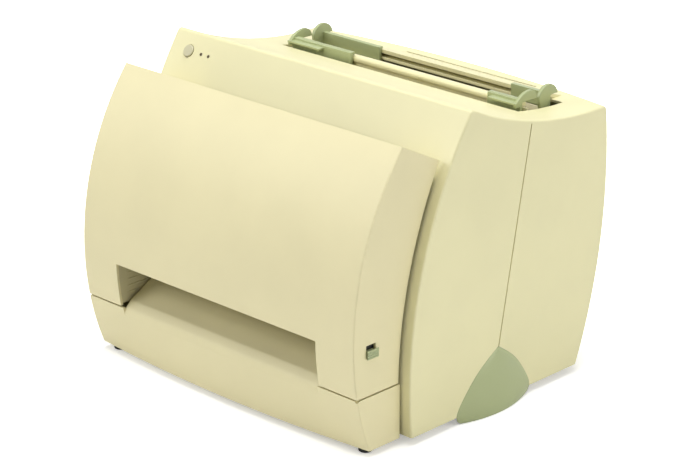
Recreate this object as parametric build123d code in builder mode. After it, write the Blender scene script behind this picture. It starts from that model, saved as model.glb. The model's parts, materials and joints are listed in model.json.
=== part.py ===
# Small personal laser printer with a deep curved front door and a top paper input.
# Frame: X to the right, Y to the back, Z up. The origin is on the floor under the middle.
from build123d import *
from math import atan2, cos, hypot, pi, sin, sqrt
import os

os.makedirs("parts", exist_ok=True)

# Overall sizes
CASE_WIDTH = 349.0
CASE_HALF = CASE_WIDTH / 2
WALL = 2.5
LINER_WALL = 2.0
FIT = 0.3
RUNNING_CLEARANCE = 0.05
# How far a cut runs past what it cuts
BEYOND = 5.0
FAR_BEYOND = 60.0

# Case outline in side view: a steep front arc, a hollow deck arc and a bulged rear
CASE_BOTTOM = 7.0
STEP_CENTRE = (288.1, 50.0)
STEP_RADIUS = 390.7
RIDGE = (-31.9, 274.5)
REAR_REACH = 159.0
DECK_REAR = (REAR_REACH - 17.4, 238.0)
DECK_SAG = 11.0
REAR_BELLY_Z = 180.0
REAR_PROFILE_RADIUS = 466.0
REAR_PLAN_RADIUS = 1136.0
CASE_ROUND = 4.0
CASE_EDGE = 1.6

# Seam between the two shells of the case
SEAM_FOOT = (7.1, 56.0)
SEAM_HEAD = (43.2, 246.5)
SEAM_GAP = 1.2
SEAM_DEPTH = 1.8
# The seam's groove runs from under the case to above it
SEAM_OVERRUN = 1.35
SEAM_SHIFT = 0.235

# Opening of the case behind the front door
OPENING_HALF_WIDTH = CASE_HALF - 24.5
OPENING_TOP = 226.0
OPENING_DEPTH = 80.0

# Front door
DOOR_HALF = CASE_HALF - 9.5
DOOR_CENTRE = (92.0, 101.0)
DOOR_RADIUS = 251.0
DOOR_BOTTOM = 56.0
DOOR_TOP_FRONT = (-103.9, 258.2)
DOOR_TOP_REAR = (-58.0, 235.4)
DOOR_GAP = 4.0
DOOR_ROUND = 1.2
DOOR_BLANK_Y = -110.0
DOOR_BLANK_DEPTH = 120.0
SLOT_HALF_WIDTH = DOOR_HALF - 43.0
SLOT_TOP = 96.4
SLOT_CUT_DEPTH = 30.0

# Hinge of the door: goosenecks that pass behind the lower front
HINGE = (-144.6, 36.0)
HINGE_PIN_RADIUS = 1.6
HINGE_PIN_TAIL = 0.5
HINGE_HUB_RADIUS = 2.8
HINGE_BOSS_WALL = 1.2
ARM_OUTER_X = DOOR_HALF - WALL - 1.0
ARM_INNER_X = ARM_OUTER_X - 3.5
ARM_REACH = 22.0
ARM_WIDTH = 8.0
ARM_TOP = 72.0

# Door liner, in side view from its top edge down to the deflector
LINER_TOP = (-104.5, 250.0)
LINER_HOLLOW = (-119.5, 208.0)
LINER_SHELF_FRONT = (-108.0, 176.0)
LINER_SHELF_REAR = (-94.5, 173.0)
LINER_KNEE = (-103.5, 150.0)
LINER_THROAT = (-109.0, 118.0)
LINER_BROW = (-124.0, 101.0)
LINER_LIP = (-153.0, 100.0)
LINER_BEND = 3.0
LINER_SIDE_TOP = 240.0
LINER_SIDE_FOOT = 2.0
LINER_SIDE_GAP = 1.0
RIM_DROP = 7.0
RIM_PLATE_Z = 245.0
RIM_PLATE_REAR = -66.0
SHAFT_HOLE_RADIUS = 1.5

# Lower front and its output tray
FRONT_BOTTOM = 6.0
FRONT_TOP = 54.4
FRONT_REAR = -104.5
FRONT_BOW = 9.0
FRONT_BOW_TOP = 0.2
FRONT_STRAIGHT_Z = 46.0
TRAY_HALF_WIDTH = SLOT_HALF_WIDTH - 2.5
TRAY_FOOT = (-151.2, 44.0)
TRAY_FRONT = (-152.8, 51.0)
TRAY_CREST = (-144.9, 58.7)
TRAY_MIDDLE = (-119.3, 72.7)
TRAY_REAR = (-103.0, 81.9)
TRAY_BEND = 8.0
TRAY_SIDE_FRONT = -139.0
TRAY_SIDE_REAR = -106.0
FRONT_SKIN_DROP = 15.0
MOUNT_PAD_RISE = 8.0
MOUNT_PAD_SPACING = 90.0
MOUNT_PAD_WIDTH = 30.0
MOUNT_PAD_SIZE = (12.0, 14.0)
MOUNT_LEDGE_SIZE = (20.0, 5.0)
RIM_RELIEF_NEAR = 6.3
RIM_RELIEF_FAR = 12.0
RIM_RELIEF_DROP = 2.7

# Paper path lever, its window and the deflector that it tilts
LEVER_WINDOW = (-144.5, -133.5, 88.8, 100.3)
LEVER_TRAVEL = 4.5
LEVER_MARGIN = 0.8
LEVER_PLATE = (2.0, 16.0, 24.0)
LEVER_KNOB_DEPTH = 4.4
LEVER_RIDGES = 3
LEVER_RIDGE_RISE = 0.7
RAIL_SIZE = (3.0, 2.0, 34.0)
RAIL_GAP = 0.3
LEVER_DROP = 1.0
DEFLECTOR_AXIS = (-113.0, 97.0)
DEFLECTOR_REACH = (11.0, -8.5)
DEFLECTOR_WALL = 2.0
DEFLECTOR_SIDE_GAP = 3.0

# Control button and lamps on the sloped face
BUTTON_X = 23.8 - CASE_HALF
CONTROL_Z = 258.4
BUTTON_RADIUS = 5.8
BUTTON_TRAVEL = 1.5
BUTTON_SINK = 4.0
BUTTON_PROUD = 1.2
BUTTON_DOME = 1.1
BUTTON_FLANGE = 1.6
BUTTON_FLANGE_HEIGHT = 1.5
LAMP_XS = (BUTTON_X + 16.0, BUTTON_X + 25.5)
LAMP_RADIUS = 1.4
LAMP_PROUD = 0.3
CONTROL_BOARD_DEPTH = 8.0
CONTROL_BOARD_SIZE = (48.0, 18.0)
CONTROL_BOARD_SHIFT = 11.0
BOARD_THICKNESS = 1.6
SWITCH_SIZE = 6.0
SWITCH_HEIGHT = 2.5
CONTROL_POST_RADIUS = 2.0
CONTROL_POST_SHIFTS = (-10.6, 32.0)

# Paper input in the deck
INPUT_HALF_WIDTH = CASE_HALF - 33.0
INPUT_REAR = REAR_REACH - 46.2
INPUT_FRONT = INPUT_REAR - 48.8
POCKET_REAR = INPUT_REAR + 10.2
POCKET_INNER_X = INPUT_HALF_WIDTH - 13.5
DECK_CUT_LOW = 205.0
BAR_REAR = REAR_REACH - 21.0
BAR_FRONT_Z = 245.0
BAR_UNDERSIDE_Z = 241.5
BAR_FLAT = 2.0
SUPPORT_SLOT_X = 20.0
SUPPORT_SLOT_LENGTH = 154.0
SUPPORT_SLOT_WIDTH = 2.0
SUPPORT_SLOT_SETBACK = 2.6
DIVIDER_FRONT = INPUT_FRONT + 11.6
DIVIDER_REAR = DIVIDER_FRONT + 8.0
DIVIDER_TOP = 247.0
DIVIDER_HEAD = 7.0
DIVIDER_ROUND = 3.0
DIVIDER_NECK = (DIVIDER_FRONT + 3.4, 242.0)

# Chute: the plates' upper ends follow the opening and the lower ends the pickup roller
PICKUP_AXIS = (62.6, 105.0)
CHUTE_HALF = INPUT_HALF_WIDTH - FIT
CHUTE_FRONT_HEAD = (INPUT_FRONT + 2.5, 240.0)
CHUTE_FRONT_FOOT = (PICKUP_AXIS[0] - 8.6, PICKUP_AXIS[1] + 23.0)
CHUTE_REAR_HEAD = (INPUT_REAR - 5.8, 235.0)
CHUTE_REAR_FOOT = (PICKUP_AXIS[0] + 17.4, PICKUP_AXIS[1] + 19.0)
CHUTE_SIDE_MARGIN = 1.2
CHUTE_TAB_SIZE = 10.0
CHUTE_TABS = ((PICKUP_AXIS[0] + 9.4, 150.0), (PICKUP_AXIS[0] + 19.4, 210.0))
DIVIDER_FOOT = (PICKUP_AXIS[0] + 3.4, PICKUP_AXIS[1] + 31.0)

# Paper guides
GUIDE_PLATE = 3.0
FIN_INNER_X = INPUT_HALF_WIDTH - 8.0
LEFT_GUIDE_REACH = 74.5
FRONT_RIGHT_REACH = 36.5
REAR_RIGHT_REACH = 42.0
FRONT_PLATE_LOW = 236.0
FRONT_PLATE_TOP = 250.0
FRONT_BEAD = (3.0, 2.6)
FRONT_BEAD_Z = 249.0
FRONT_FIN_START = (INPUT_FRONT + 3.0, 246.6)
FRONT_FIN_RISE = (INPUT_FRONT + 11.0, 253.4)
FRONT_FIN_CREST = (INPUT_FRONT + 23.0, 255.8)
FRONT_FIN_FALL = (INPUT_FRONT + 28.6, 252.8)
FRONT_FIN_END = (INPUT_FRONT + 31.0, 247.4)
FRONT_FIN_LOW = 244.0
FRONT_LIP_THICKNESS = 1.8
FRONT_LIP_Z = 247.2
FRONT_LIP_LENGTH = 40.0
FRONT_LIP_SHORT = 6.0
REAR_PLATE_LOW = 234.5
REAR_PLATE_TOP = 247.5
REAR_BEAD = (4.0, 2.2)
REAR_BEAD_SHIFT = 0.6
REAR_BEAD_RISE = 1.5
REAR_FIN_FRONT = INPUT_REAR - 15.3
REAR_FIN_REAR = INPUT_REAR + 9.2
REAR_FIN_Z = 246.0
REAR_FIN_TOP = 255.8
REAR_FIN_LOW = 236.0
REAR_FIN_TUCK = 2.0

# Inner frame
CHASSIS_X = CASE_HALF - 21.5
CHASSIS_THICKNESS = 2.0
CHASSIS_INSET = 13.0
CHASSIS_REAR = REAR_REACH - 47.0
PAN_THICKNESS = 3.0
PAN_LOW = CASE_BOTTOM + 0.5
PAN_TOP = PAN_LOW + PAN_THICKNESS
PAN_SLOT = (40.0, 4.0)
PAN_SLOT_PITCH = (12.0, 60.0)
PAN_SLOTS_PER_ROW = 9
PAN_SLOT_ROWS = 2
STANDOFF_X = 100.0
STANDOFF_YS = (-50.0, 60.0)
STANDOFF_RADIUS = 4.0
STANDOFF_HEIGHT = 6.0

# Rollers: axis in side view, roller radius, half length of the roller
DRUM_AXIS = (-2.4, 105.0)
DRUM_RADIUS = 12.0
DRUM_HALF = SLOT_HALF_WIDTH - 14.0
TRANSFER_RADIUS = 8.0
PRESSURE_AXIS = (-67.4, 72.7)
PRESSURE_RADIUS = 9.0
FUSER_RADIUS = 9.0
PICKUP_RADIUS = 16.0
PICKUP_HALF = 25.0
FEED_RADIUS = 8.0
FEED_HALF = 100.0
EXIT_Z = 78.0
EXIT_RADIUS = 6.0
EXIT_ROLLER_SPAN = (40.0, 60.0)
TOP_EXIT_AXIS = (-67.5, 182.0)
TOP_EXIT_RADIUS = 13.0
PINCH_RADIUS = 5.0
PINCH_SHAFT_RADIUS = 1.5
PINCH_SPAN = (40.0, 60.0)
SHAFT_RADIUS = 3.0
SHAFT_END = 1.0
SHAFT_RIGHT = CHASSIS_X + CHASSIS_THICKNESS + 2 * SHAFT_END

# Gears
MODULE = 1.5
GEAR_OUTER_X = 11.5 - CASE_HALF
GEAR_WIDTH = 6.0
GEAR_ADDENDUM = 0.85
GEAR_DEDENDUM = 1.15
TOOTH_TIP_SHARE = 0.11
TOOTH_ROOT_SHARE = 0.33
WEB_TEETH = 24
WEB_RIM = 2.5
WEB_HUB = 3.0
WEB_SHARE = 0.45
DRUM_TEETH = 26
FEED_TEETH = 16
PICKUP_TEETH = 24
PICKUP_IDLER_TEETH = 14
FUSER_IDLER_TEETH = 36
PRESSURE_TEETH = 16
EXIT_TEETH = 10
EXIT_IDLER_TEETH = 30
TOP_EXIT_TEETH = 10
PINION_TEETH = 10
FEED_ANGLE = -35 * pi / 180
PINION_ANGLE = 60 * pi / 180
STUD_RADIUS = 3.0
MOTOR_RADIUS = 17.0
MOTOR_LENGTH = 34.0
MOTOR_OVERLAP = 1.0

# Feet
FOOT_STANDOUT = 8.5
FOOT_HEIGHT = 56.0
FOOT_MIDDLE_Y = 1.0
FOOT_HALF_WIDTH = 46.0
FOOT_LEAN = 6.0
FOOT_TOP_HALF = 0.8
FOOT_TOP_REACH = 0.3
FOOT_PAD = (18.0, 70.0)
FOOT_PAD_ROUND = 5.0
FOOT_WEB = (2.0, 78.0)
FOOT_SECTIONS = 6
FOOT_TUCK_WIDTH = 0.86
FOOT_TUCK_REACH = 0.93
FOOT_FALL = 1.6
FRONT_RUBBER = (DOOR_HALF - 13.0, -131.4)
FRONT_RUBBER_RADIUS = 6.0
REAR_RUBBER = (125.0, 95.0)
REAR_RUBBER_RADIUS = 8.0

# Screws of the rear cover
SCREW_Z = 24.0
SCREW_OUTER_X = CASE_HALF - 11.5
SCREW_INNER_X = 55.0
SCREW_HEAD_RADIUS = 3.6
SCREW_HEAD_HEIGHT = 2.4
SCREW_RADIUS = 1.75
SCREW_SINK = 4.0
SCREW_BOSS = 12.0
SCREW_CROSS = (4.4, 0.9)

# Connectors in the rear wall: place across, height, width and height of the cut-out
INLET = (48.5 - CASE_HALF, 32.0, 30.0, 24.0)
INLET_DEPTH = 56.0
INLET_RECESS = 14.0
PORT = (CASE_HALF - 48.5, 70.0, 42.0, 14.0)
PORT_DEPTH = 40.0
PORT_RECESS = 6.0
FITTING_RIM = (6.0, 5.0)
FITTING_ROUND = 2.0
FITTING_INSET = 0.4

# Toner cartridge, in side view round from its front foot
CARTRIDGE_HALF = DRUM_HALF + 4.0
CARTRIDGE_FRONT = -46.0
CARTRIDGE_FRONT_TOP = 168.0
CARTRIDGE_CREST = (-18.0, 176.0)
CARTRIDGE_REAR = 36.0
CARTRIDGE_REAR_TOP = 158.0
CARTRIDGE_REAR_LOW = 112.0
CARTRIDGE_KEEL_REAR = 20.0
CARTRIDGE_KEEL_FRONT = -36.0
CARTRIDGE_KEEL_Z = 97.0
CARTRIDGE_FRONT_LOW = 104.0
CARTRIDGE_ROUND = 5.0
DRUM_CLEARANCE = 0.8
DRUM_END_CLEARANCE = 0.5

# Laser scanner
SCAN_PLATE_Z = 186.0
SCAN_PLATE = (94.0, 2.0)
SCAN_PLATE_Y = 5.0
SCAN_WINDOW_Y = -20.0
SCAN_WINDOW = (214.0, 8.0)
SCANNER_Y = 8.0
SCANNER_SIZE = (180.0, 84.0, 36.0)
SCANNER_WALL = 3.0
SCANNER_BEAM = (160.0, 6.0)
SCANNER_COVER = (184.0, 88.0, 2.4)
SCANNER_RIB = (3.0, 70.0, 5.0)
SCANNER_RIBS = 5
SCANNER_RIB_PITCH = 30.0
MIRROR_PLACE = (-20.0, 18.0)
MIRROR_POST = (3.0, 8.0)
MIRROR_ROTOR = (14.0, 3.0)
MIRROR_RADIUS = 20.0
MIRROR_HEIGHT = 6.0
MIRROR_FACETS = 6
MIRROR_LIFT = 11.3

# Fuser frame
FUSER_FRAME_HALF = DRUM_HALF + 10.0
FUSER_FRAME_Y = -64.5
FUSER_FRAME_Z = 84.0
FUSER_FRAME_SIZE = (29.0, 50.0)
FUSER_FRAME_WALL = (4.0, 2.0)
FUSER_GAP = (218.0, 6.0)
FUSER_BAND = 3.0
FUSER_SHAFT_GAP = 3.0
FUSER_TAB_Y = -56.0
FUSER_TAB_ZS = (62.0, 106.0)
FUSER_TAB = (8.0, 6.0)

# Feed guide and separation pad
FEED_GUIDE_REAR = (76.0, 88.0)
FEED_GUIDE_MIDDLE = (46.0, 84.0)
FEED_GUIDE_STEP = (36.0, 76.0)
FEED_GUIDE_FRONT = (12.0, 76.0)
FEED_GUIDE_BEND = 3.0
PAD_ANGLE = 200 * pi / 180
PAD_SIZE = (44.0, 12.0, 3.0)
PAD_SEAT_HALF = 24.0
PAD_SEAT = ((41.5, 82.0), (46.5, 85.0), (43.6, 94.0), (41.0, 101.0), (36.0, 99.0))

# Boards
ENGINE_BOARD = (216.0, 126.0)
ENGINE_BOARD_Y = 5.0
CHIP = (26.0, 18.0, 14.0)
CHIP_PLACES = ((-60.0, 20.0, 8.0), (-20.0, 30.0, 8.0), (50.0, -10.0, 5.0))
CAPACITOR = (8.0, 20.0)
CAPACITOR_PLACES = ((80.0, 40.0), (80.0, 10.0))
SUPPLY_PLACE = (-30.0, REAR_REACH - 68.0)
SUPPLY_SIZE = (150.0, 34.0, 36.0)
SUPPLY_WALL = 2.0
SUPPLY_LIP = 1.0
TRANSFORMER = (28.0, 22.0, 28.0)
TRANSFORMER_SHIFTS = (-30.0, 20.0)
TRANSFORMER_Z = 15.0
FORMATTER_GAP = 5.0
FORMATTER_CENTRE = (40.0, 80.0)
FORMATTER_SIZE = (100.0, 120.0)
FORMATTER_POST = 3.0
FORMATTER_POST_INSET = 8.0
FORMATTER_CHIP = (3.0, 24.0, 24.0)
FORMATTER_CHIPS = ((30.0, 90.0), (60.0, 60.0))


def save(name, part):
    part.label = name
    export_step(part, f"parts/{name}.step")


def arc_centre(start, end, sag):
    """Centre of the hollow arc between two points, above it."""
    dy = end[0] - start[0]
    dz = end[1] - start[1]
    chord = hypot(dy, dz)
    radius = (chord * chord / 4 + sag * sag) / (2 * sag)
    rise = radius - sag
    middle = ((start[0] + end[0]) / 2, (start[1] + end[1]) / 2)
    return (middle[0] - dz / chord * rise, middle[1] + dy / chord * rise), radius


DECK_CENTRE, DECK_RADIUS = arc_centre(RIDGE, DECK_REAR, DECK_SAG)
CASE_TOP = RIDGE[1] + BEYOND


def step_y(z, offset=0.0):
    """Y of the case's front arc at a height, moved out by an offset."""
    return STEP_CENTRE[0] - sqrt((STEP_RADIUS + offset) ** 2 - (z - STEP_CENTRE[1]) ** 2)


def door_y(z, inset=0.0):
    """Y of the door's outer arc at a height."""
    return DOOR_CENTRE[0] - sqrt((DOOR_RADIUS - inset) ** 2 - (z - DOOR_CENTRE[1]) ** 2)


def deck_z(y, inset=0.0):
    """Height of the deck at a depth."""
    return DECK_CENTRE[1] - sqrt((DECK_RADIUS + inset) ** 2 - (y - DECK_CENTRE[0]) ** 2)


def rear_y(z, x=0.0, inset=0.0):
    """Y of the rear wall at a height and a place across the width."""
    radius = REAR_PROFILE_RADIUS - inset
    centre = REAR_REACH - REAR_PROFILE_RADIUS
    middle = centre + sqrt(radius ** 2 - (z - REAR_BELLY_Z) ** 2)
    axis = REAR_REACH - REAR_PLAN_RADIUS
    return axis + sqrt((middle - axis) ** 2 - x * x)


def case_outline(plane, inset, low, high, rear):
    """Side outline of the case, drawn in by an inset."""
    with BuildSketch(plane) as outline:
        with Locations(STEP_CENTRE):
            Circle(STEP_RADIUS - inset)
        with Locations(DECK_CENTRE):
            Circle(DECK_RADIUS + inset, mode=Mode.SUBTRACT)
        with Locations(((rear - REAR_REACH) / 2, (low + high) / 2)):
            Rectangle(rear + REAR_REACH, high - low, mode=Mode.INTERSECT)
    return outline.sketch


def case_form(inset, low, high):
    """Solid form of the whole case with its bulged rear."""
    axis_y = REAR_REACH - REAR_PLAN_RADIUS
    heights = (low - WALL, (low + high) / 2, high + WALL)
    with BuildPart() as form:
        extrude(case_outline(Plane.YZ, inset, low, high, 2 * REAR_REACH), amount=CASE_HALF - inset, both=True)
        with BuildSketch(Plane.YZ):
            with BuildLine():
                rear = ThreePointArc(*[(rear_y(z, 0, inset), z) for z in heights])
                Polyline(rear @ 1, (axis_y, heights[2]), (axis_y, heights[0]), rear @ 0)
            make_face()
        revolve(axis=Axis((0, axis_y, 0), (0, 0, 1)), mode=Mode.INTERSECT)
    return form.part


def bent_plate(points, thickness, bend, start, length):
    """Plate bent along a path in side view, from a place across the width."""
    with BuildPart() as plate:
        with BuildSketch(Plane.YZ.offset(start)):
            with BuildLine() as path:
                if bend:
                    FilletPolyline(*points, radius=bend)
                else:
                    Polyline(*points)
            trace(path.line, thickness)
        extrude(amount=length)
    return plate.part


def bar_across(points, start, length):
    """Straight-sided bar across the width with its corners in side view."""
    with BuildPart() as bar:
        with BuildSketch(Plane.YZ.offset(start)):
            with BuildLine():
                Polyline(*points, close=True)
            make_face()
        extrude(amount=length)
    return bar.part


def rod_across(axes, radius, start, end):
    """Round bars across the width."""
    with BuildPart() as rod:
        with BuildSketch(Plane.YZ.offset(start)):
            with Locations(*axes):
                Circle(radius)
        extrude(amount=end - start)
    return rod.part


def on_side(edge):
    """True for an edge that lies in one of the case's flat sides."""
    return abs(abs(edge.center().X) - CASE_HALF) < FIT


def slope_plane(x, z):
    """Plane on the sloped control face, looking straight out of it."""
    y = step_y(z)
    out = Vector(0, y - STEP_CENTRE[0], z - STEP_CENTRE[1]).normalized()
    return Plane(origin=(x, y, z), x_dir=(1, 0, 0), z_dir=out)


# Case shells
seam_run = (SEAM_HEAD[0] - SEAM_FOOT[0], SEAM_HEAD[1] - SEAM_FOOT[1])
seam_plane = Plane(origin=(0, *SEAM_FOOT), x_dir=(1, 0, 0), z_dir=(0, seam_run[1], -seam_run[0]))
seam_length = SEAM_OVERRUN * hypot(*seam_run)

with BuildPart() as case_shell:
    add(case_form(0, CASE_BOTTOM, CASE_TOP))
    upper = case_shell.edges().filter_by(lambda e: e.center().Z > CASE_BOTTOM + FIT)
    fillet(upper.filter_by(lambda e: not on_side(e)), radius=CASE_ROUND)
    upper = case_shell.edges().filter_by(lambda e: e.center().Z > CASE_BOTTOM + FIT)
    fillet(upper.filter_by(on_side), radius=CASE_EDGE)
    add(case_form(WALL, CASE_BOTTOM - BEYOND, CASE_TOP), mode=Mode.SUBTRACT)
    with BuildSketch(seam_plane):
        for side in (-1, 1):
            with Locations((side * CASE_HALF, -seam_length * SEAM_SHIFT)):
                Rectangle(2 * SEAM_DEPTH, seam_length)
    extrude(amount=SEAM_GAP / 2, both=True, mode=Mode.SUBTRACT)

with BuildPart() as front_cover:
    add(case_shell.part)
    split(bisect_by=seam_plane, keep=Keep.BOTTOM)
    with Locations((0, step_y(CASE_BOTTOM), (DOOR_BOTTOM + OPENING_TOP) / 2)):
        Box(2 * OPENING_HALF_WIDTH, 2 * OPENING_DEPTH, OPENING_TOP - DOOR_BOTTOM, mode=Mode.SUBTRACT)
    with BuildSketch(slope_plane(BUTTON_X, CONTROL_Z)):
        Circle(BUTTON_RADIUS + FIT)
        with Locations(*[(x - BUTTON_X, 0) for x in LAMP_XS]):
            Circle(LAMP_RADIUS + RUNNING_CLEARANCE)
    extrude(amount=3 * WALL, both=True, mode=Mode.SUBTRACT)
save("front_cover", front_cover.part)

SCREW_PLACES = [(side * x, SCREW_Z) for side in (-1, 1) for x in (SCREW_INNER_X, SCREW_OUTER_X)]
SUPPORT_SLOT_Y = BAR_REAR + SUPPORT_SLOT_SETBACK
with BuildPart() as rear_cover:
    add(case_shell.part)
    split(bisect_by=seam_plane, keep=Keep.TOP)
    with BuildSketch(Plane.XY.offset(DECK_CUT_LOW)):
        with Locations((0, (INPUT_FRONT + INPUT_REAR) / 2)):
            Rectangle(2 * INPUT_HALF_WIDTH, INPUT_REAR - INPUT_FRONT)
        for side in (-1, 1):
            with Locations((side * (INPUT_HALF_WIDTH + POCKET_INNER_X) / 2, (INPUT_REAR + POCKET_REAR) / 2)):
                Rectangle(INPUT_HALF_WIDTH - POCKET_INNER_X, POCKET_REAR - INPUT_REAR)
        with Locations((SUPPORT_SLOT_X, SUPPORT_SLOT_Y)):
            Rectangle(SUPPORT_SLOT_LENGTH, SUPPORT_SLOT_WIDTH)
    extrude(amount=CASE_TOP - DECK_CUT_LOW, mode=Mode.SUBTRACT)
    # raised bar behind the input opening, its front edge the guides' rail
    bar_corners = [(INPUT_REAR, BAR_UNDERSIDE_Z), (INPUT_REAR, BAR_FRONT_Z),
                   (INPUT_REAR + BAR_FLAT, BAR_FRONT_Z), (BAR_REAR, deck_z(BAR_REAR)),
                   (BAR_REAR, deck_z(BAR_REAR, WALL))]
    add(bar_across(bar_corners, -POCKET_INNER_X, 2 * POCKET_INNER_X))
    for x, z, width, height in (INLET, PORT):
        with Locations((x, REAR_REACH, z)):
            Box(width + FIT, INLET_DEPTH + PORT_DEPTH, height + FIT, mode=Mode.SUBTRACT)
    for x, z in SCREW_PLACES:
        with Locations(Plane(origin=(x, rear_y(z, abs(x)), z), z_dir=(0, 1, 0))):
            with Locations((0, 0, -(SCREW_BOSS + WALL) / 2)):
                Cylinder(SCREW_HEAD_RADIUS + WALL, SCREW_BOSS)
            with Locations((0, 0, FAR_BEYOND / 2 - SCREW_SINK)):
                Cylinder(SCREW_HEAD_RADIUS + FIT, FAR_BEYOND, mode=Mode.SUBTRACT)
            Cylinder(SCREW_RADIUS + RUNNING_CLEARANCE, 2 * (SCREW_BOSS + SCREW_SINK + WALL), mode=Mode.SUBTRACT)
save("rear_cover", rear_cover.part)

with BuildPart() as case_screws:
    for x, z in SCREW_PLACES:
        with Locations(Plane(origin=(x, rear_y(z, abs(x)) - SCREW_SINK, z), z_dir=(0, 1, 0))):
            with Locations((0, 0, SCREW_HEAD_HEIGHT / 2)):
                Cylinder(SCREW_HEAD_RADIUS, SCREW_HEAD_HEIGHT)
            with Locations((0, 0, -SCREW_BOSS / 2)):
                Cylinder(SCREW_RADIUS, SCREW_BOSS)
            with Locations((0, 0, SCREW_HEAD_HEIGHT)):
                Box(SCREW_CROSS[0], SCREW_CROSS[1], SCREW_HEAD_HEIGHT, mode=Mode.SUBTRACT)
                Box(SCREW_CROSS[1], SCREW_CROSS[0], SCREW_HEAD_HEIGHT, mode=Mode.SUBTRACT)
save("case_screws", case_screws.part)

BOARD_Z = PAN_TOP + STANDOFF_HEIGHT
with BuildPart() as base_pan:
    add(case_form(WALL + FIT, PAN_LOW, PAN_TOP))
    with BuildSketch(Plane.XY.offset(PAN_TOP)):
        with Locations(*[(x, y) for x in (-STANDOFF_X, STANDOFF_X) for y in STANDOFF_YS]):
            Circle(STANDOFF_RADIUS)
    extrude(amount=BOARD_Z - PAN_TOP)
    with BuildSketch(Plane.XY.offset(PAN_LOW)):
        with GridLocations(*PAN_SLOT_PITCH, PAN_SLOTS_PER_ROW, PAN_SLOT_ROWS):
            SlotOverall(*PAN_SLOT, rotation=90)
    extrude(amount=PAN_THICKNESS, mode=Mode.SUBTRACT)
save("base_pan", base_pan.part)


# Lower front with its output tray
def front_form(inset, low, high, extra=0.0):
    """Lower front body: nearly straight across at the top, bowed forward at the bottom."""
    half = DOOR_HALF - inset
    rear = FRONT_REAR + extra
    with BuildPart() as form:
        for z in (low, (low + FRONT_STRAIGHT_Z) / 2, FRONT_STRAIGHT_Z, high):
            share = max(0, FRONT_STRAIGHT_Z - z) / (FRONT_STRAIGHT_Z - FRONT_BOTTOM)
            front = door_y(z, inset)
            bowed = front - FRONT_BOW * share - FRONT_BOW_TOP
            with BuildSketch(Plane.XY.offset(z)):
                with BuildLine():
                    ThreePointArc((-half, front), (0, bowed), (half, front))
                    Polyline((half, front), (half, rear), (-half, rear), (-half, front))
                make_face()
        loft()
    return form.part


tray_path = [TRAY_FOOT, TRAY_FRONT, TRAY_CREST, TRAY_MIDDLE, TRAY_REAR]
tray_side = [(TRAY_SIDE_FRONT, FRONT_BOTTOM + WALL / 2), *tray_path[1:], (TRAY_SIDE_REAR, FRONT_BOTTOM + WALL / 2)]
relief = [(HINGE[0] - RIM_RELIEF_NEAR, FRONT_TOP), (HINGE[0] - RIM_RELIEF_FAR, FRONT_TOP - RIM_RELIEF_DROP),
          (HINGE[0] - RIM_RELIEF_FAR, FRONT_TOP + WALL), (HINGE[0] - RIM_RELIEF_NEAR, FRONT_TOP + WALL)]
rim_inner = DOOR_HALF - WALL
with BuildPart() as front_base:
    add(front_form(0, FRONT_BOTTOM, FRONT_TOP))
    fillet(front_base.edges().filter_by(
        lambda e: abs(e.center().X) > rim_inner and e.center().Y < TRAY_SIDE_FRONT
        and e.length > FRONT_TOP / 2), radius=DOOR_ROUND)
    add(front_form(WALL, FRONT_BOTTOM + WALL, FRONT_TOP + WALL, extra=BEYOND), mode=Mode.SUBTRACT)
    # the front skin drops under the output slot
    with Locations((0, TRAY_FOOT[0], FRONT_TOP)):
        Box(2 * TRAY_HALF_WIDTH, SLOT_CUT_DEPTH, FRONT_SKIN_DROP, mode=Mode.SUBTRACT)
    add(bent_plate(tray_path, WALL, TRAY_BEND, -TRAY_HALF_WIDTH, 2 * TRAY_HALF_WIDTH))
    for start in (-TRAY_HALF_WIDTH, TRAY_HALF_WIDTH - LINER_WALL):
        add(bar_across(tray_side, start, LINER_WALL))
    # pads that carry it on the case front
    for x in (-MOUNT_PAD_SPACING, 0, MOUNT_PAD_SPACING):
        with Locations((x, FRONT_REAR, FRONT_BOTTOM + MOUNT_PAD_RISE)):
            Box(MOUNT_PAD_WIDTH, *MOUNT_PAD_SIZE)
        with Locations((x, FRONT_REAR - DEFLECTOR_WALL, FRONT_BOTTOM + GUIDE_PLATE)):
            Box(MOUNT_PAD_WIDTH, *MOUNT_LEDGE_SIZE)
    add(case_form(0, CASE_BOTTOM - BEYOND, CASE_TOP), mode=Mode.SUBTRACT)
    # hinge bosses and the relieved corners of the side rims
    for start, end in ((-rim_inner, -ARM_OUTER_X - FIT), (ARM_OUTER_X + FIT, rim_inner)):
        add(rod_across([HINGE], HINGE_PIN_RADIUS + HINGE_BOSS_WALL, start, end))
    for start in (-rim_inner - WALL / 2, ARM_OUTER_X):
        add(rod_across([HINGE], HINGE_PIN_RADIUS, start, start + rim_inner + WALL / 2 - ARM_OUTER_X),
            mode=Mode.SUBTRACT)
    for start in (-DOOR_HALF - WALL, rim_inner):
        add(bar_across(relief, start, 2 * WALL), mode=Mode.SUBTRACT)
save("front_base", front_base.part)

with BuildPart() as hinge_pins:
    pin_length = DOOR_HALF - WALL / 2 - ARM_INNER_X + HINGE_PIN_TAIL
    for start in (-DOOR_HALF + WALL / 2, ARM_INNER_X - HINGE_PIN_TAIL):
        add(rod_across([HINGE], HINGE_PIN_RADIUS, start, start + pin_length))
save("hinge_pins", hinge_pins.part)


# Front door
def door_outline(plane, front_inset, rear_inset, low, high):
    """Side outline of the door between its outer arc and the case."""
    with BuildSketch(plane) as outline:
        with Locations(DOOR_CENTRE):
            Circle(DOOR_RADIUS - front_inset)
        with Locations(STEP_CENTRE):
            Circle(STEP_RADIUS + DOOR_GAP + rear_inset, mode=Mode.SUBTRACT)
        with Locations((DOOR_BLANK_Y, (low + high) / 2)):
            Rectangle(DOOR_BLANK_DEPTH, high - low, mode=Mode.INTERSECT)
    return outline.sketch


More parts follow.
